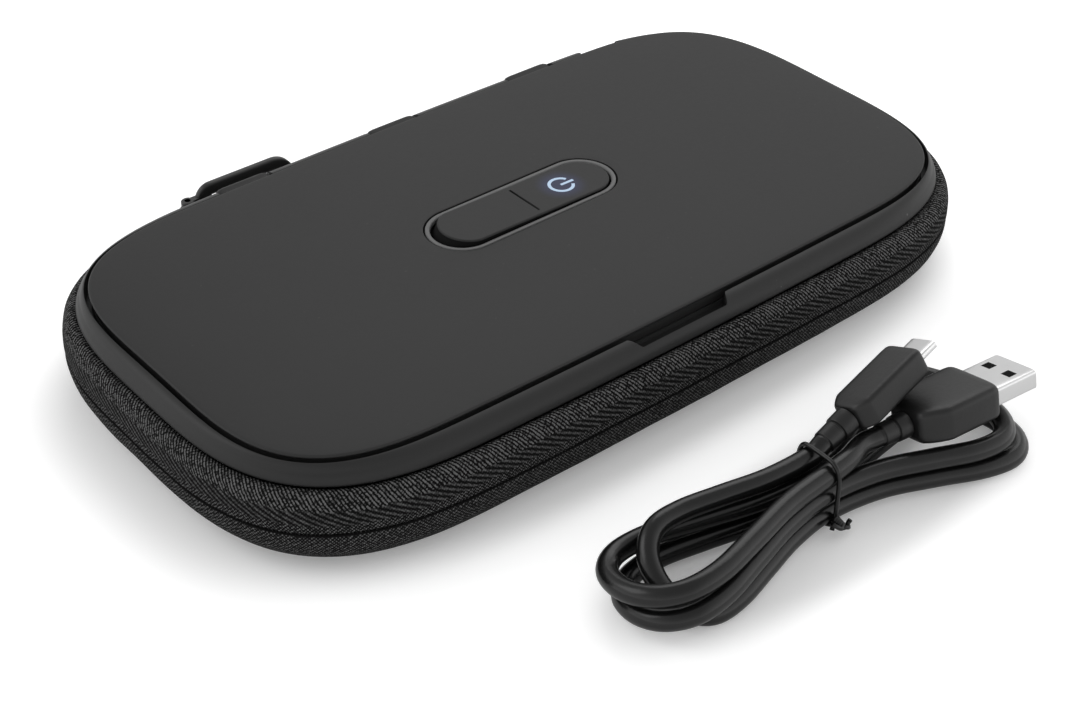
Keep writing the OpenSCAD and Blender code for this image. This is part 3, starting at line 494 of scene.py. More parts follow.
smooth_route = catmull(route, 6)
cord_grid = tube(smooth_route, CORD_D / 2, 20, (0, 0, 1))
cord_grid[..., 2] = np.maximum(cord_grid[..., 2], 0.0)
cord = piece("charging_cord", grid_mesh("charging_cord", cord_grid, loop_columns=True, caps=True),
             MATERIALS["cord_black"], "base", "cord_hank")

# Plugs: each lies along x from its cord end, and is then turned and set down

USB_BODY, USB_FRONT, USB_END = 7.0, 26.5, 38.5
MICRO_BODY, MICRO_FRONT, MICRO_END = 8.0, 28.0, 33.4


def relief(length):
    """Strain relief in two collars that grow towards the plug."""
    mid = length / 2
    return [(0.0, 2.35, 2.35, 2), (0.15, 2.5, 2.5, 2), (mid - 0.5, 2.55, 2.55, 2), (mid - 0.35, 2.4, 2.4, 2),
            (mid + 0.05, 2.4, 2.4, 2), (mid + 0.2, 2.75, 2.75, 2), (mid + 0.4, 2.85, 2.85, 2),
            (length - 0.3, 2.9, 2.9, 2), (length - 0.1, 2.6, 2.6, 2)]


def housing(start, end, half_w, half_t, power, shoulder):
    """Moulded grip: a rear that widens over the shoulder, flat broad faces and a small radius at the front."""
    rear = [(0.0, 0.5, 0.6), (0.04, 0.58, 0.78), (0.12, 0.65, 0.88), (0.35, 0.77, 0.95), (0.6, 0.88, 0.98),
            (0.85, 0.97, 1.0), (1.0, 1.0, 1.0)]
    front = [(-2.0, 1.0), (-0.8, 0.985), (-0.3, 0.955), (-0.05, 0.91), (0.0, 0.87)]
    return [(start + shoulder * d, half_w * w, half_t * t, power) for d, w, t in rear] + [
        (end + d, half_w * k, half_t * k, power) for d, k in front]


def plug_piece(name, grids, at, turn, material, *nodes):
    placed = [turned(g, turn) * MM + at for g in grids]
    return piece(name, solids_mesh(name, placed), material, "base", *nodes)


def sleeve(start, end, half_w, half_t, wall, power):
    """Open metal shell: out along the outside, over the lip and back along the inside."""
    rows = [(start, 0.0), (end - 0.25, 0.0), (end - 0.05, 0.04), (end, 0.12), (end, wall - 0.06),
            (end - 0.1, wall), (start + 0.4, wall)]
    return loft([(x, half_w - d, half_t - d, power) for x, d in rows])


USB, MICRO = (USB_AT, USB_TURN), (MICRO_AT, MICRO_TURN)
METAL, RUBBER, SHADE_BLACK = MATERIALS["plug_metal"], MATERIALS["plug_black"], MATERIALS["void_black"]
usb_grip = [loft(relief(USB_BODY)), loft(housing(USB_BODY, USB_FRONT, 7.8, 4.1, 6.5, 6.5))]
# Painted shade: near-black blocks under the shell's two holes and inside its mouth, where only shade shows
usb_shade_blocks = [block((USB_FRONT + 6.0, USB_FRONT + 8.2), (y - 1.25, y + 1.25), (2.2, 2.262)) for y in (-2.9, 2.9)]
usb_shade_blocks += [block((USB_FRONT + 0.5, USB_END - 0.9), (-5.6, 5.6), (0.2, 1.8))]
usb_blade = [block((USB_FRONT, USB_END - 0.6), (-5.6, 5.6), (-1.9, 0.0))]
micro_grip = [loft(relief(MICRO_BODY)), loft(housing(MICRO_BODY, MICRO_FRONT, 5.1, 3.3, 6.5, 3.5))]
# The micro plug's dark insert, in the near-black that also paints the shade in its mouth
micro_blade = [block((MICRO_FRONT, MICRO_END - 0.5), (-2.4, 2.4), (-0.5, 0.25))]
plugs = [
    plug_piece("usb_grip", usb_grip, *USB, RUBBER, "usb_housing"),
    plug_piece("usb_sleeve", [sleeve(USB_FRONT - 0.2, USB_END, 6.0, 2.25, 0.3, 9)], *USB, METAL, "usb_shell"),
    plug_piece("usb_hole_shade", usb_shade_blocks, *USB, SHADE_BLACK),
    plug_piece("usb_blade", usb_blade, *USB, MATERIALS["contact_white"], "usb_tongue"),
    plug_piece("micro_grip", micro_grip, *MICRO, RUBBER, "micro_housing"),
    plug_piece("micro_sleeve", [sleeve(MICRO_FRONT - 0.2, MICRO_END, 3.42, 0.9, 0.25, 5)], *MICRO, METAL,
               "micro_shell"),
    plug_piece("micro_blade", micro_blade, *MICRO, SHADE_BLACK, "micro_tongue"),
]

# Wire tie: a loop round the waist of the hank, its ends twisted together and bent apart

TIE_R = 0.5
TIE_AT = np.array([HANK_AT[0] / MM - 1, HANK_AT[1] / MM + 0.05, 8.65])
TIE_HALF = (WAIST / MM + CORD_D / MM / 2 + 0.7, 8.2)
TWIST_TURNS = 2.2
round_tie = np.linspace(0, 2 * np.pi, 73)
across, up = [half * np.sign(v) * abs(v) ** 0.4
              for half, v in zip(TIE_HALF, (np.cos(round_tie), np.sin(round_tie)))]
loop = TIE_AT + np.stack([0.25 * np.sin(2 * round_tie), across, up], 1)
knot = TIE_AT + (0, -TIE_HALF[0], -5.2)


def strand(phase, tail):
    """Half of the twist, a helix about a line outward from the loop, and its bent tail."""
    t = np.linspace(0, 1, 25)[:, None]
    a = 2 * np.pi * TWIST_TURNS * t + phase
    twist = knot + t * (0.2, -1.8, -0.9) + TIE_R * np.hstack([np.cos(a), 0 * a, np.sin(a)])
    return catmull(np.vstack([twist, twist[-1] + np.array(tail)]), 3)


ends = [strand(0.0, [(-0.9, -0.5, -0.3), (-1.9, -0.2, 0.5), (-2.4, 0.5, 0.9), (-1.8, 0.9, 0.2),
                     (-2.4, 0.6, -0.7)]),
        strand(math.pi, [(0.9, -0.5, 0.2), (1.8, -0.4, -0.4), (2.3, 0.3, -0.2), (2.9, 0.2, 0.6)])]
wires = [tube(loop * MM, TIE_R * MM, 14, (1, 0, 0))]
wires += [tube(e * MM, TIE_R * MM, 10, (0.3, 0.2, 1)) for e in ends]
for g in wires:
    g[..., 2] = np.maximum(g[..., 2], 0.0)
tie = piece("wire_tie", solids_mesh("wire_tie", wires, None), MATERIALS["cord_black"], "base", "tie_wire")

# Outlines of the case, as in the CAD: d grows the outline outward

CORNER_STEPS = 131
SIDE_BOW = 0.034
END_BOW = 0.01
SHARED_X = 53.0
KNUCKLES = (-43.0, 0.0, 43.0)
KNUCKLE_L = 14.0
POCKET_HALF = KNUCKLE_L / 2 + 0.3
pocket_ends = [(k + s * POCKET_HALF + d) / (1 + END_BOW)
               for k in KNUCKLES[1:] for s in (-1, 1) for d in (-0.02, 0.02)]
# Stations on a long side: 1 mm apart, closer at the notch's ends, and a pair at each end of a hinge pocket
SIDE_X = np.unique(np.concatenate([np.arange(0, SHARED_X, 1.0), np.arange(10.4, 16.2, 0.2),
                                   [v for v in pocket_ends if v > 0]]))[::-1]


class Form:
    """Outline of straight middles and corners where u^n + v^n = 1, with bowed sides and ends."""

    def __init__(self, length, width, corner, square):
        self.half = (length / 2, width / 2)
        self.corner = corner
        self.square = square

    def ring(self, d):
        """Points of the outline in millimetres, anticlockwise from the middle of the right end."""
        a, b = self.half[0] + d, self.half[1] + d
        r = self.corner + d
        n = self.square
        last = (SHARED_X - a + r) / r
        angles = np.linspace(0, math.atan2((1 - last ** n) ** (1 / n), last), CORNER_STEPS)
        c, s = np.cos(angles), np.sin(angles)
        grow = (c ** n + s ** n) ** (-1 / n)
        end = np.stack([np.full(3, a), (b - r) * np.arange(3) / 3], 1)
        turn = np.stack([a - r + r * c * grow, b - r + r * s * grow], 1)
        flat = np.maximum(SIDE_X - a + r, 0) / r
        side = np.stack([SIDE_X, b - r + r * (1 - flat ** n) ** (1 / n)], 1)
        q = np.vstack([end, turn, side])
        q = np.vstack([q, (q * (-1, 1))[-2::-1]])
        q = np.vstack([q, (q * (1, -1))[-2:0:-1]])
        x, y = q.T
        return np.stack([x * (1 + END_BOW * (y / b) ** 2), y * (1 - SIDE_BOW * (x / a) ** 2)], 1)


RIM = Form(203.0, 110.7, 54.0, 3.1)
LID = Form(195.2, 101.4, 44.7, 3.3)
STATIONS = len(RIM.ring(0))


def at(ring, z):
    """Ring of plan points at a height, or at a height for each point, in metres."""
    z = np.broadcast_to(z, len(ring))
    return np.column_stack([ring, z]) * MM


def sweep(section):
    """Grid of rings from [form, d, z] points: P[section point, station]."""
    return np.array([at(form.ring(d), z) for form, d, z in section])


def along(ring):
    """Distance along a closed ring to each of its points, with the full length at the end."""
    step = np.linalg.norm(np.diff(np.vstack([ring, ring[:1]]), axis=0), axis=1)
    return np.concatenate([[0], np.cumsum(step)])


def cloth_uv(points):
    """Texture place in metres: length round the case, and length over the closed section at the front."""
    s = np.mean([along(ring) for ring in points], 0)
    v = along(points[:, STATIONS * 3 // 4])
    return np.stack(np.broadcast_arrays(s, v[:, None]), -1)


def ripple(points, size):
    """Slack in a stretched tape: a sum of waves of unlike lengths round the case, in metres."""
    x, y, z = np.moveaxis(points / MM, -1, 0)
    w = (np.sin(x * 0.19 + z * 0.3) + 0.7 * np.sin(y * 0.31 - z * 0.5 + 1.3)
         + 0.5 * np.sin(x * 0.53 + y * 0.41 + 2.1))
    out = points * (1, 1, 0)
    out = out / np.linalg.norm(out, axis=2)[..., None]
    return points + out * (w * size / 2.2)[..., None]


# Fabric body: two tapes with the zip between them, which stands a little wider open along the straight back

ZIP_Z = 11.0
BACK_END, BACK_FADE = 72, 6
PLAN = RIM.ring(0)
BACK_STRAIGHT = np.clip((BACK_END - np.abs(PLAN[:, 0])) / BACK_FADE, 0, 1) * (PLAN[:, 1] > 0)
ZIP_GAP = 0.14 + 0.27 * BACK_STRAIGHT
EDGE_REACH = 1.6
RIPPLE = 0.10 * MM


def tape(name, material, body, node, edge_sign, outer, inner):
    """Zip tape: outer and inner [d, z] points from the zip edge; the edge keeps the zip's gap."""
    section = np.vstack([catmull(outer, 4), inner])
    points = sweep([(RIM, d, z) for d, z in section])
    gap = (ZIP_Z + edge_sign * ZIP_GAP) * MM
    near = np.clip(1 - np.abs(section[:, 1] - section[0, 1]) / EDGE_REACH, 0, 1)[:, None]
    points[..., 2] += near * (gap - section[0, 1] * MM)
    points = ripple(points, RIPPLE)
    piece(name, grid_mesh(name, points, cloth_uv(points), True, True), material, body, node)


upper_outer = [(3.0, 11.36), (3.28, 11.6), (3.38, 12.4), (3.36, 13.6), (3.3, 14.9), (3.1, 16.2), (2.8, 17.4),
               (2.3, 18.45), (1.7, 19.15), (1.0, 19.55), (0.3, 19.6), (-0.5, 19.3)]
upper_inner = [(-0.6, 18.8), (0.9, 18.3), (1.9, 16.5), (2.35, 13.5), (2.4, 11.5)]
tape("upper_tape", TAPE_UPPER, "upper", "zip_tape_upper", 1, upper_outer, upper_inner)
lower_outer = [(3.0, 10.64), (3.26, 10.4), (3.3, 9.4), (3.12, 8.0), (2.85, 6.8), (2.4, 5.5), (1.75, 4.4),
               (1.0, 3.4), (0.3, 2.5), (-0.5, 1.7), (-1.4, 1.3)]
lower_inner = [(-1.2, 2.0), (0.0, 3.2), (1.2, 5.2), (2.1, 8.0), (2.35, 10.5)]
tape("lower_tape", TAPE_LOWER, "base", "zip_tape_lower", -1, lower_outer, lower_inner)


# Moulded rim: its top is cut away by the finger notch, the hinge pockets and the charging port

LEDGE_Z = 20.4
NOTCH_X = (-15.3, 12.7)
NOTCH_WALL_Y = -53.9
PORT = (60.0, 72.0)
GROOVE_WALL = 0.4
RIM_SIDE = ((-1.9, 19.2), (-1.0, 19.75), (-0.4, 20.0), (-0.08, 20.18), (0.0, 20.4), (-0.03, 20.7),
            (-0.12, 21.1), (-0.27, 21.55), (-0.47, 22.0), (-0.72, 22.4))
RIM_TOP = ((0, 0.13, 0.27, 0.42, 0.6, 0.8, 1.0), (22.75, 23.18, 23.55, 23.85, 24.12, 24.3, 24.38))
INNER_EDGE_DROP = 0.14
RIM_INSIDE = ((LID, -2.9, LEDGE_Z), (LID, -2.9, 13.6), (LID, -1.4, 13.6), (LID, -1.4, 18.2), (RIM, -1.9, 18.2))


def opened(plan, inner):
    """Where the back is cut down to the ledge: at the port, and inside the outer wall at the hinge pockets."""
    x, y = plan.T
    away = np.min([abs(x - k) for k in KNUCKLES], axis=0)
    return (y > 0) & (((away < POCKET_HALF) & inner) | ((x > PORT[0]) & (x < PORT[1])))


def rim_grid():
    """Rim: outer face, top from mix 0 at the outer edge to mix 1 at the groove, groove and inner wall."""
    edge = RIM.ring(-1.0)
    groove = LID.ring(GROOVE_WALL)
    x, y = edge.T
    left = smooth_step(x, NOTCH_X[0] - 0.4, NOTCH_X[0] + 2.2)
    right = smooth_step(x, NOTCH_X[1] + 0.4, NOTCH_X[1] - 2.0)
    reach = (y - NOTCH_WALL_Y) / (y - groove[:, 1] + 1e-9)
    widest = np.where((y < 0) & (np.abs(x) < 30), 1 - left * right * (1 - reach), 1.0)
    rows = []

    def row(plan, z, inner=True):
        rows.append(at(plan, np.where(opened(plan, inner), np.minimum(z, LEDGE_Z), z)))

    for d, z in RIM_SIDE:
        row(RIM.ring(d), z, False)
    for m in (0, 0.08, 0.16, 0.26, 0.38, 0.52, 0.7, 0.86, 0.95, 0.985, 1.0):
        mix = m * widest
        top = np.interp(mix, *RIM_TOP) - INNER_EDGE_DROP * smooth_step(m, 0.94, 1.0)
        row(edge + (groove - edge) * mix[:, None], top)
    rows.append(at(edge + (groove - edge) * widest[:, None], LEDGE_Z))
    return np.concatenate([rows, sweep(RIM_INSIDE)])


piece("rim", grid_mesh("rim", rim_grid(), None, True, True, sharp=40), RIM_RUBBER, "upper", "rim_frame")

# Lid

BUTTON_Y = 2.0
POCKET = (49.2, 14.6)  # length and width of the button's slot inside its bezel
BEZEL_W = 1.6
LID_SIDE = -0.45
CROWN_D, CROWN_Z = -34.0, 26.0
ROOF_Z = 23.9


def stadium(length, width):
    """Rounded slot with a point for each station of the crown's edge, as far round it as the station is."""
    core, r = (length - width) / 2, width / 2
    s = along(LID.ring(CROWN_D))
    arc, run = math.pi * r, 2 * core
    total = 2 * arc + 2 * run
    out = np.empty((len(s) - 1, 2))
    for i, v in enumerate(s[:-1] / s[-1] * total):
        if v < arc / 2 or v >= total - arc / 2:
            g = v / r if v < arc / 2 else (v - total) / r
            out[i] = core + r * math.cos(g), r * math.sin(g)
        elif v < arc / 2 + run:
            out[i] = core - (v - arc / 2), r
        elif v < 1.5 * arc + run:
            g = math.pi / 2 + (v - arc / 2 - run) / r
            out[i] = -core + r * math.cos(g), r * math.sin(g)
        else:
            out[i] = -core + (v - 1.5 * arc - run), -r
    return out + (0, BUTTON_Y)


def lid_grid():
    """Lid skin: undercut side, rounded edge, crowned top, walls of the button's slot, and flat roof inside."""
    section = catmull([(-1.15, 22.0), (-1.1, 23.3), (-0.95, 24.0), (LID_SIDE - 0.12, 24.5), (LID_SIDE, 24.76),
                       (LID_SIDE - 0.1, 24.98), (LID_SIDE - 0.36, 25.14), (-1.4, 25.22), (-2.5, 25.31),
                       (-6.0, 25.52), (-12.0, 25.75), (-22.0, 25.93), (CROWN_D, CROWN_Z)], 3)
    rows = [at(LID.ring(-2.35), 21.2), at(LID.ring(-1.35), 21.2), at(LID.ring(-1.15), 21.4)]
    rows += [at(LID.ring(d), z) for d, z in section]
    crown = LID.ring(CROWN_D)
    slot = stadium(*(v + 2 * BEZEL_W for v in POCKET))
    rows += [at(crown + (slot - crown) * m, CROWN_Z) for m in (0.35, 0.7, 0.93, 0.985)]
    rows += [at(slot, CROWN_Z - 0.07), at(slot, ROOF_Z), at(LID.ring(-2.35), ROOF_Z)]
    return np.array(rows)


piece("lid", grid_mesh("lid", lid_grid(), None, True, True, sharp=40), SOFT_TOUCH, "lid", "lid_cover")

# Hinge: three knuckles on the lid, each with an arm across the groove, and the pin through them

HINGE_Y, HINGE_Z, BARREL_R, PIN_R, PIN_HALF = 53.0, 22.7, 1.3, 0.6, 50.0
ARM_ROOT_Y, ARM_END_Y, ARM_Z = 49.2, 50.9, (21.85, 23.62)


def knuckle(x):
    """Barrel and arm as one profile in y and z, drawn along x with a small chamfer at its ends."""
    a = np.radians(np.linspace(-140, 110, 40))
    barrel = np.stack([HINGE_Y + BARREL_R * np.cos(a), HINGE_Z + BARREL_R * np.sin(a)], 1)
    profile = np.vstack([[(ARM_ROOT_Y, ARM_Z[0])], barrel, [(ARM_END_Y, ARM_Z[1]), (ARM_ROOT_Y, ARM_Z[1])]])
    middle = np.array([HINGE_Y - 1, HINGE_Z])
    rings = []
    for end, shrink in ((-1, 0.6), (-0.96, 0.78), (-0.86, 0.94), (-0.7, 1.0),
                        (0.7, 1.0), (0.86, 0.94), (0.96, 0.78), (1, 0.6)):
        yz = middle + (profile - middle) * shrink
        rings.append(np.column_stack([np.full(len(yz), x + end * KNUCKLE_L / 2), yz]))
    return np.array(rings) * MM


piece("lid_knuckles", solids_mesh("lid_knuckles", [knuckle(x) for x in KNUCKLES]), SOFT_TOUCH, "lid")
pin_end = oval(PIN_R, PIN_R, 2, 24) + (HINGE_Y, HINGE_Z)
pin = [np.column_stack([np.full(len(pin_end), x), pin_end]) for x in (-PIN_HALF, PIN_HALF)]
piece("hinge_rod", solids_mesh("hinge_rod", [np.array(pin) * MM]), MATERIALS["steel"], "upper", "hinge_pin")

# Button: bezel, tilted key whose skirt and divider are painted near-black for shade, and lit sign

KEY = (48.4, 13.8)
KEY_Z = (26.9, 26.1)
DRAWN_IN, DRAWN_OVER = 1.5, (13.0, 24.5)


def slot_ring(length, width, d):
    """Rounded slot round the button, d outside its edge."""
    core, r = (length - width) / 2, width / 2 + d
    a = np.radians(np.linspace(-90, 90, 37))
    run = np.linspace(core, -core, 14)[1:-1]
    right = np.stack([core + r * np.cos(a), r * np.sin(a)], 1)
    top = np.stack([run, np.full(len(run), r)], 1)
    half = np.vstack([right, top])
    return np.vstack([half, -half]) + (0, BUTTON_Y)


def key_top_z(plan):
    """Plane of the key's top: it falls from the left end to the right end."""
    return KEY_Z[0] + (KEY_Z[1] - KEY_Z[0]) * (plan[:, 0] / KEY[0] + 0.5)


def key_edge(d):
    """Edge of the key's top, drawn in at its raised left end."""
    plan = slot_ring(*KEY, d)
    plan[:, 0] += DRAWN_IN * smooth_step(-plan[:, 0], *DRAWN_OVER)
    return plan


bezel = [at(slot_ring(*POCKET, d), z) for d, z in ((0.05, 24.85), (0.05, 25.55), (0.15, 25.78), (0.35, 25.9),
                                                   (0.95, 25.96), (1.1, 25.9), (1.2, 25.72), (1.2, 24.85))]
piece("bezel", grid_mesh("bezel", np.array(bezel), None, True, True, sharp=50), MATERIALS["bezel_grey"], "lid",
      "button_bezel")
cover = [at(key_edge(d), key_top_z(key_edge(d)) - drop) for d, drop in
         ((-0.02, 0.45), (-0.02, 0.28), (-0.08, 0.12), (-0.2, 0.04), (-0.4, 0.0))]
piece("key_top", solids_mesh("key_top", [np.array(cover)], 50), KEY_TOUCH, "key", "power_key")
# Painted shade: the key's side walls, near-black for the shade round its raised end and under its edge
skirt = [at(slot_ring(*KEY, 1.2), 23.2), at(slot_ring(*KEY, 1.2), 23.8), at(slot_ring(*KEY, 0), 23.85),
         at(slot_ring(*KEY, 0), 24.6), at(key_edge(-0.03), key_top_z(key_edge(0)) - 0.4)]
piece("key_skirt_shade", solids_mesh("key_skirt_shade", [np.array(skirt)], 30), SHADE_BLACK, "key")


def ribbon(path, half_width, low, high):
    """Flat line on the key's top: a strip of rectangles along a path."""
    t = np.gradient(path, axis=0)
    t /= np.linalg.norm(t, axis=1)[:, None]
    side = np.stack([-t[:, 1], t[:, 0]], 1) * half_width
    rings = []
    for offset, lift in ((-1, low), (1, low), (1, high), (-1, high)):
        plan = path + side * offset
        rings.append(np.column_stack([plan, key_top_z(plan) + lift]))
    return np.stack(rings, 1) * MM


# Painted shade: a near-black strip on the key's top for the shade in the divider's groove
DIVIDER = (0.6, BUTTON_Y) + np.array([(0.0, -5.3), (0.0, 0.0), (0.0, 5.4)])
piece("key_divider", solids_mesh("key_divider", [ribbon(DIVIDER, 0.3, -0.1, 0.012)], None), SHADE_BLACK, "key")
SIGN = np.array(SIGN_AT) / MM
SIGN_R = 2.8
open_ring = np.radians(np.linspace(27, 333, 60))
sign = [ribbon(SIGN + SIGN_R * np.stack([np.cos(open_ring), np.sin(open_ring)], 1), 0.39, -0.1, 0.03),
        ribbon(SIGN + np.array([(-0.1, 0.0), (1.7, 0.0), (3.6, 0.0)]), 0.36, -0.1, 0.035)]
piece("lit_sign", solids_mesh("lit_sign", sign, 30), MATERIALS["lit_white"], "key", "power_sign")

# Zip slider and pull

SLIDER_X, PLATE_Y = -57.0, 58.85
LUG = (-53.0, 61.85)
PULL_Z, PULL_R, PULL_L, PULL_FRAME, SLOT_TOP = 14.8, 6.2, 27.5, 2.4, 3.1
PULL_START, SLOT_START, SHOULDER_R = LUG[0] + 2.2, LUG[0] + 6.2, 4
PULL_SECTION = ((0.0, -0.55), (0.08, -0.82), (0.3, -0.9), (0.7, -0.9), (0.92, -0.82), (1.0, -0.55), (1.0, 0.55),
                (0.92, 0.82), (0.7, 0.9), (0.3, 0.9), (0.08, 0.82), (0.0, 0.55))


def plate(x, z, sections, power=4.5):
    """Plate facing y, from (y, half length, half height) sections."""
    rings = []
    for y, half_l, half_h in sections:
        xz = oval(half_l, half_h, power, 48)
        rings.append(np.column_stack([x + xz[:, 0], np.full(len(xz), y), z + xz[:, 1]]))
    return np.array(rings[::-1]) * MM


def post(r, low, high):
    """Upright pin at the lug with a small chamfer, between two heights."""
    rows = ((low, 0.85), (low + 0.2, 1.0), (high - 0.2, 1.0), (high, 0.85))
    return np.array([at(oval(r * shrink, r * shrink, 2, 28) + LUG, z) for z, shrink in rows])


slider = [plate(SLIDER_X, ZIP_Z, [(PLATE_Y, 5.3, 4.3), (PLATE_Y + 0.25, 5.5, 4.5), (PLATE_Y + 0.9, 5.45, 4.45),
                                  (PLATE_Y + 1.2, 5.1, 4.1), (PLATE_Y + 1.35, 4.2, 3.2)]),
          plate(-56.4, 14.9, [(PLATE_Y, 5.0, 1.7), (PLATE_Y + 1.2, 5.0, 1.7), (PLATE_Y + 1.8, 4.8, 1.6),
                              (PLATE_Y + 2.1, 4.2, 1.2)], 3.0),
          plate(SLIDER_X, ZIP_Z, [(55.0, 4.9, 2.4), (55.4, 5.0, 2.5)]),
          block((SLIDER_X - 4.4, SLIDER_X - 1), (55.35, 59.05), (10.8, 11.2)) * MM,
          post(1.9, 12.2, 16.6),
          block((LUG[0] - 1.6, LUG[0] + 1.6), (PLATE_Y + 1, LUG[1]), (12.3, 16.5)) * MM]
piece("slider_body", solids_mesh("slider_body", slider), MATERIALS["slider_black"], "slider", "zip_slider")


def pull_outline(d):
    """Pull in x and z: square-shouldered beside the slider and round at its free end, d inside its edge."""
    x0, x1, r, c = PULL_START + d, PULL_START + PULL_L - d, PULL_R - d, SHOULDER_R
    a = np.radians(np.linspace(0, 90, 21))
    end = np.stack([x1 - r + r * np.cos(a), r * np.sin(a)], 1)
    run = np.stack([np.linspace(x1 - r, x0 + c, 16)[1:-1], np.full(14, r)], 1)
    a = np.radians(np.linspace(90, 180, 17))
    rear = np.stack([x0 + c + c * np.cos(a), r - c + c * np.sin(a)], 1)
    half = np.vstack([end, run, rear])
    return np.vstack([half, (half * (1, -1))[-1:0:-1]])


def pull_grid():
    """Frame of the pull: its section, swept round, with mix 0 at the outer edge and 1 at the slot."""
    outer = pull_outline(0)
    slot = pull_outline(PULL_FRAME)
    slot[:, 0] = np.maximum(slot[:, 0], SLOT_START)
    slot[:, 1] = np.minimum(slot[:, 1], SLOT_TOP)
    rows = []
    for m, y in PULL_SECTION:
        xz = outer + (slot - outer) * m
        rows.append(np.column_stack([xz[:, 0], np.full(len(xz), LUG[1] + y), PULL_Z + xz[:, 1]]) * MM)
    return np.array(rows)


piece("pull_frame", grid_mesh("pull_frame", pull_grid(), None, True, True, sharp=60),
      MATERIALS["pull_black"], "pull", "pull_tab")
ears = [post(1.6, *z) for z in ((16.8, 18.4), (10.4, 12.0))]
ears += [block((LUG[0], LUG[0] + 5), (LUG[1] - 0.85, LUG[1] + 0.85), z) * MM
         for z in ((16.85, 18.35), (10.45, 11.95))]
piece("pull_ears", solids_mesh("pull_ears", ears), MATERIALS["pull_black"], "pull")

# Zip teeth, and the pleated gusset that lets the body rise

TOOTH_D, TOOTH_PITCH, TOOTH_DEPTH, TOOTH_HALF, TOOTH_TIP = 1.7, 1.5, 0.55, 0.42, 0.3
CHAMFER = 0.25


def teeth(name, low, high, body, node):
    """Row of moulded teeth behind the edge of a tape, a pitch apart along the outline."""
    ring = RIM.ring(TOOTH_D)
    closed = np.vstack([ring, ring[:1]])
    s = along(ring)
    count = int(s[-1] / TOOTH_PITCH)
    place = (np.arange(count) + 0.5) * s[-1] / count
    p = np.stack([np.interp(place, s, closed[:, i]) for i in (0, 1)], 1)
    t = np.roll(p, -1, 0) - np.roll(p, 1, 0)
    t /= np.linalg.norm(t, axis=1)[:, None]
    out = np.stack([t[:, 1], -t[:, 0]], 1)
    grids = []
    for centre, along_edge, outward in zip(p, t, out):
        rings = []
        for z, half in ((low, TOOTH_TIP), (low + CHAMFER, TOOTH_HALF),
                        (high - CHAMFER, TOOTH_HALF), (high, TOOTH_TIP)):
            plan = [centre + along_edge * half * i + outward * TOOTH_DEPTH * j
                    for i, j in ((-1, 1), (-1, -1), (1, -1), (1, 1))]
            rings.append(at(plan, z))
        grids.append(np.array(rings))
    piece(name, solids_mesh(name, grids, None), MATERIALS["zip_black"], body, node)


teeth("teeth_lower", 9.1, 10.7, "base", "zip_coil_lower")
teeth("teeth_upper", 11.3, 12.9, "upper", "zip_coil_upper")

PLEATS, PLEAT_D, PLEAT_DEPTH, CLOTH_T = 3, -3.2, 1.25, 0.45
GUSSET_Z = (8.75, 13.25)
fold = np.linspace(0, 1, 49)
pleats = PLEAT_D - PLEAT_DEPTH * np.cos(2 * np.pi * PLEATS * fold)
outside = list(zip(pleats, np.interp(fold, (0, 1), GUSSET_Z)))
inside = [(d - CLOTH_T, z) for d, z in outside[::-1]]
gusset_points = sweep([(RIM, d, z) for d, z in outside + inside])
gusset = bpy.data.objects.new("gusset", grid_mesh("gusset", gusset_points, None, True, True))
bpy.context.scene.collection.objects.link(gusset)
gusset.data.materials.append(MATERIALS["zip_fabric"])
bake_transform(gusset)
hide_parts("expansion_gusset")


# Floor: painted light, seen only by the camera, lifts it towards white; less beside the case and the hank, so
# their shadows stay dark, and more right of the case, to clear the shade there

# Painted light on the floor: SHADE_LIFT near the case and hank, OPEN_LIFT away from them, and RIGHT_LIFT added
# right of the case
SHADE_LIFT, OPEN_LIFT, RIGHT_LIFT = 0.17, 0.42, 0.22
HANK_MIDDLE = (0.0, -0.097)
CASE_OVAL, HANK_OVAL = ((0.105, 0.059), 3, 0.07), ((0.053, 0.018), 2, 0.03)
CASE_FADE, HANK_FADE, RIGHT_FADE = (0.0, 0.012), (-0.006, 0.008), (0.07, 0.108)


def beyond(x, y, half, power, size):
    """Rough distance outside an oval |x / a|^n + |y / b|^n = 1 about the origin, given its mean size."""
    terms = [(v * v * h ** -2).power(power / 2) for v, h in ((x, half[0]), (y, half[1]))]
    return ((terms[0] + terms[1]).power(1 / power) - 1.0) * size


floor_paint = Paint("studio_floor")
fx, fy = floor_paint.plan()
off_case = beyond(fx, fy, *CASE_OVAL)
off_hank = beyond(fx - HANK_MIDDLE[0], fy - HANK_MIDDLE[1], *HANK_OVAL)
clear = off_case.ramp(*CASE_FADE) * off_hank.ramp(*HANK_FADE)
lift = clear * (OPEN_LIFT - SHADE_LIFT) + SHADE_LIFT + fx.ramp(*RIGHT_FADE) * RIGHT_LIFT
floor_material = floor_paint.finish(grey(0.9), floor_paint.noise(3.0) * 0.02 + 0.9, Specular_IOR_Level=0.0)
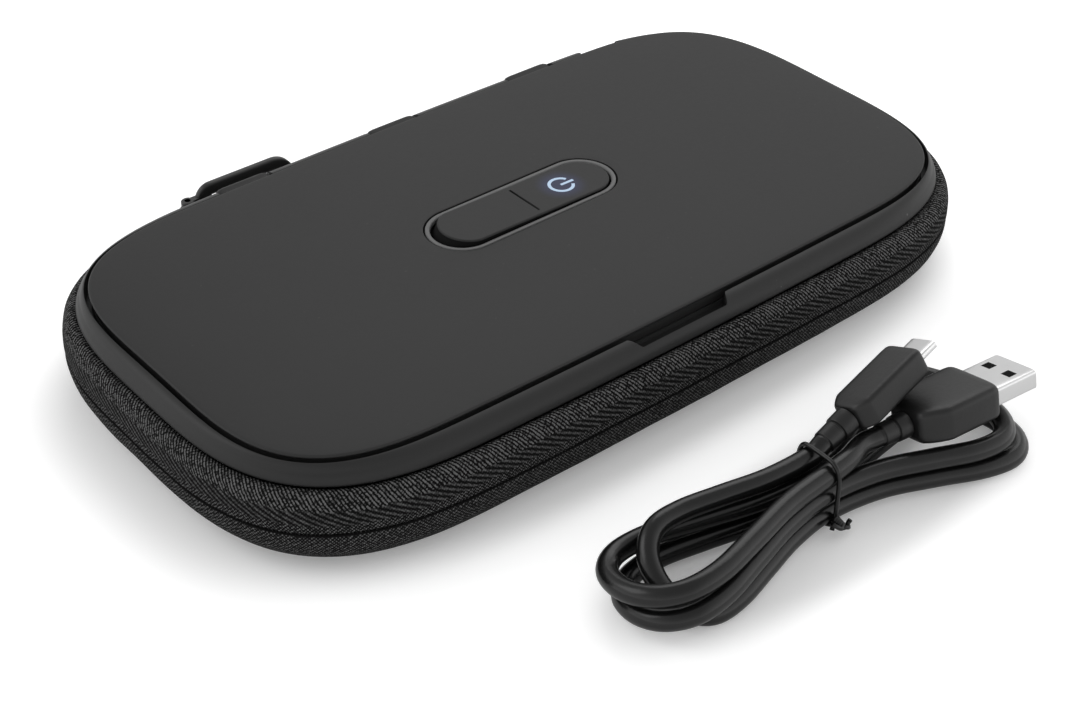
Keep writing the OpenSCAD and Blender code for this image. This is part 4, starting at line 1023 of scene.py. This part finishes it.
# Painted light: emission for camera rays only, so the floor looks lighter than it is lit
painted_floor_light = Value(floor_paint.tree, floor_paint.add("ShaderNodeLightPath").outputs["Is Camera Ray"]) * lift
connect(floor_paint.tree, floor_paint.shader.inputs["Emission Color"],
        floor_paint.blend(painted_floor_light, grey(0.0), grey(1.0)))
floor_paint.shader.inputs["Emission Strength"].default_value = 1.0
floor_mesh = bpy.data.meshes.new("studio_floor")
floor_mesh.from_pydata([(-4, -4, 0), (4, -4, 0), (4, 4, 0), (-4, 4, 0)], [], [(0, 1, 2, 3)])
floor_mesh.materials.append(floor_material)
floor = bpy.data.objects.new("studio_floor", floor_mesh)
floor.location = (0, 0, -0.0002)
bpy.context.scene.collection.objects.link(floor)

# Light: a pale room, brighter low down, left and right and dimmer behind, and two softboxes

world = bpy.data.worlds.new("studio_world")
world.use_nodes = True
sky = world.node_tree
direction = sky.nodes.new("ShaderNodeSeparateXYZ")
sky.links.new(sky.nodes.new("ShaderNodeTexCoord").outputs["Generated"], direction.inputs[0])
sky_x, sky_y, sky_z = [Value(sky, socket) for socket in direction.outputs]
low_sky = sky_z * -1.0 + 1.0
left_sky = (sky_x * -0.8 + sky_y * 0.6).ramp(0.2, 1.0)
right_sky = (sky_x * 0.9 - sky_y * 0.44).ramp(0.3, 1.0)
back_sky = (sky_x * 0.6 + sky_y * 0.65 + sky_z * 0.47).ramp(0.6, 1.0)
level = (low_sky * low_sky * 0.7 + left_sky * 0.3 + right_sky * 0.5 + 0.52) * (back_sky * -0.3 + 1.0)
connect(sky, sky.nodes["Background"].inputs[1], level)
sky.nodes["Background"].inputs[0].default_value = (1.0, 1.0, 1.0, 1.0)
bpy.context.scene.world = world
LIGHT_TARGET = (0, 0, 0.01)


def softbox(name, place, size, power):
    """Lit rectangle that faces the target."""
    light = bpy.data.lights.new(name, "AREA")
    light.shape = "RECTANGLE"
    light.size, light.size_y = size
    light.energy = power
    obj = bpy.data.objects.new(name, light)
    obj.location = place
    d = np.array(LIGHT_TARGET) - np.array(place)
    obj.rotation_euler = (math.atan2(math.hypot(d[0], d[1]), -d[2]), 0, math.atan2(-d[0], d[1]))
    bpy.context.scene.collection.objects.link(obj)


softbox("key_light", (0.6, 0.5, 0.8), (0.9, 0.6), 2.6)
softbox("fill_light", (-0.6, 0.5, 0.7), (0.7, 0.5), 1.6)
bpy.context.scene.view_settings.view_transform = "Standard"
bpy.context.scene.view_settings.look = "None"
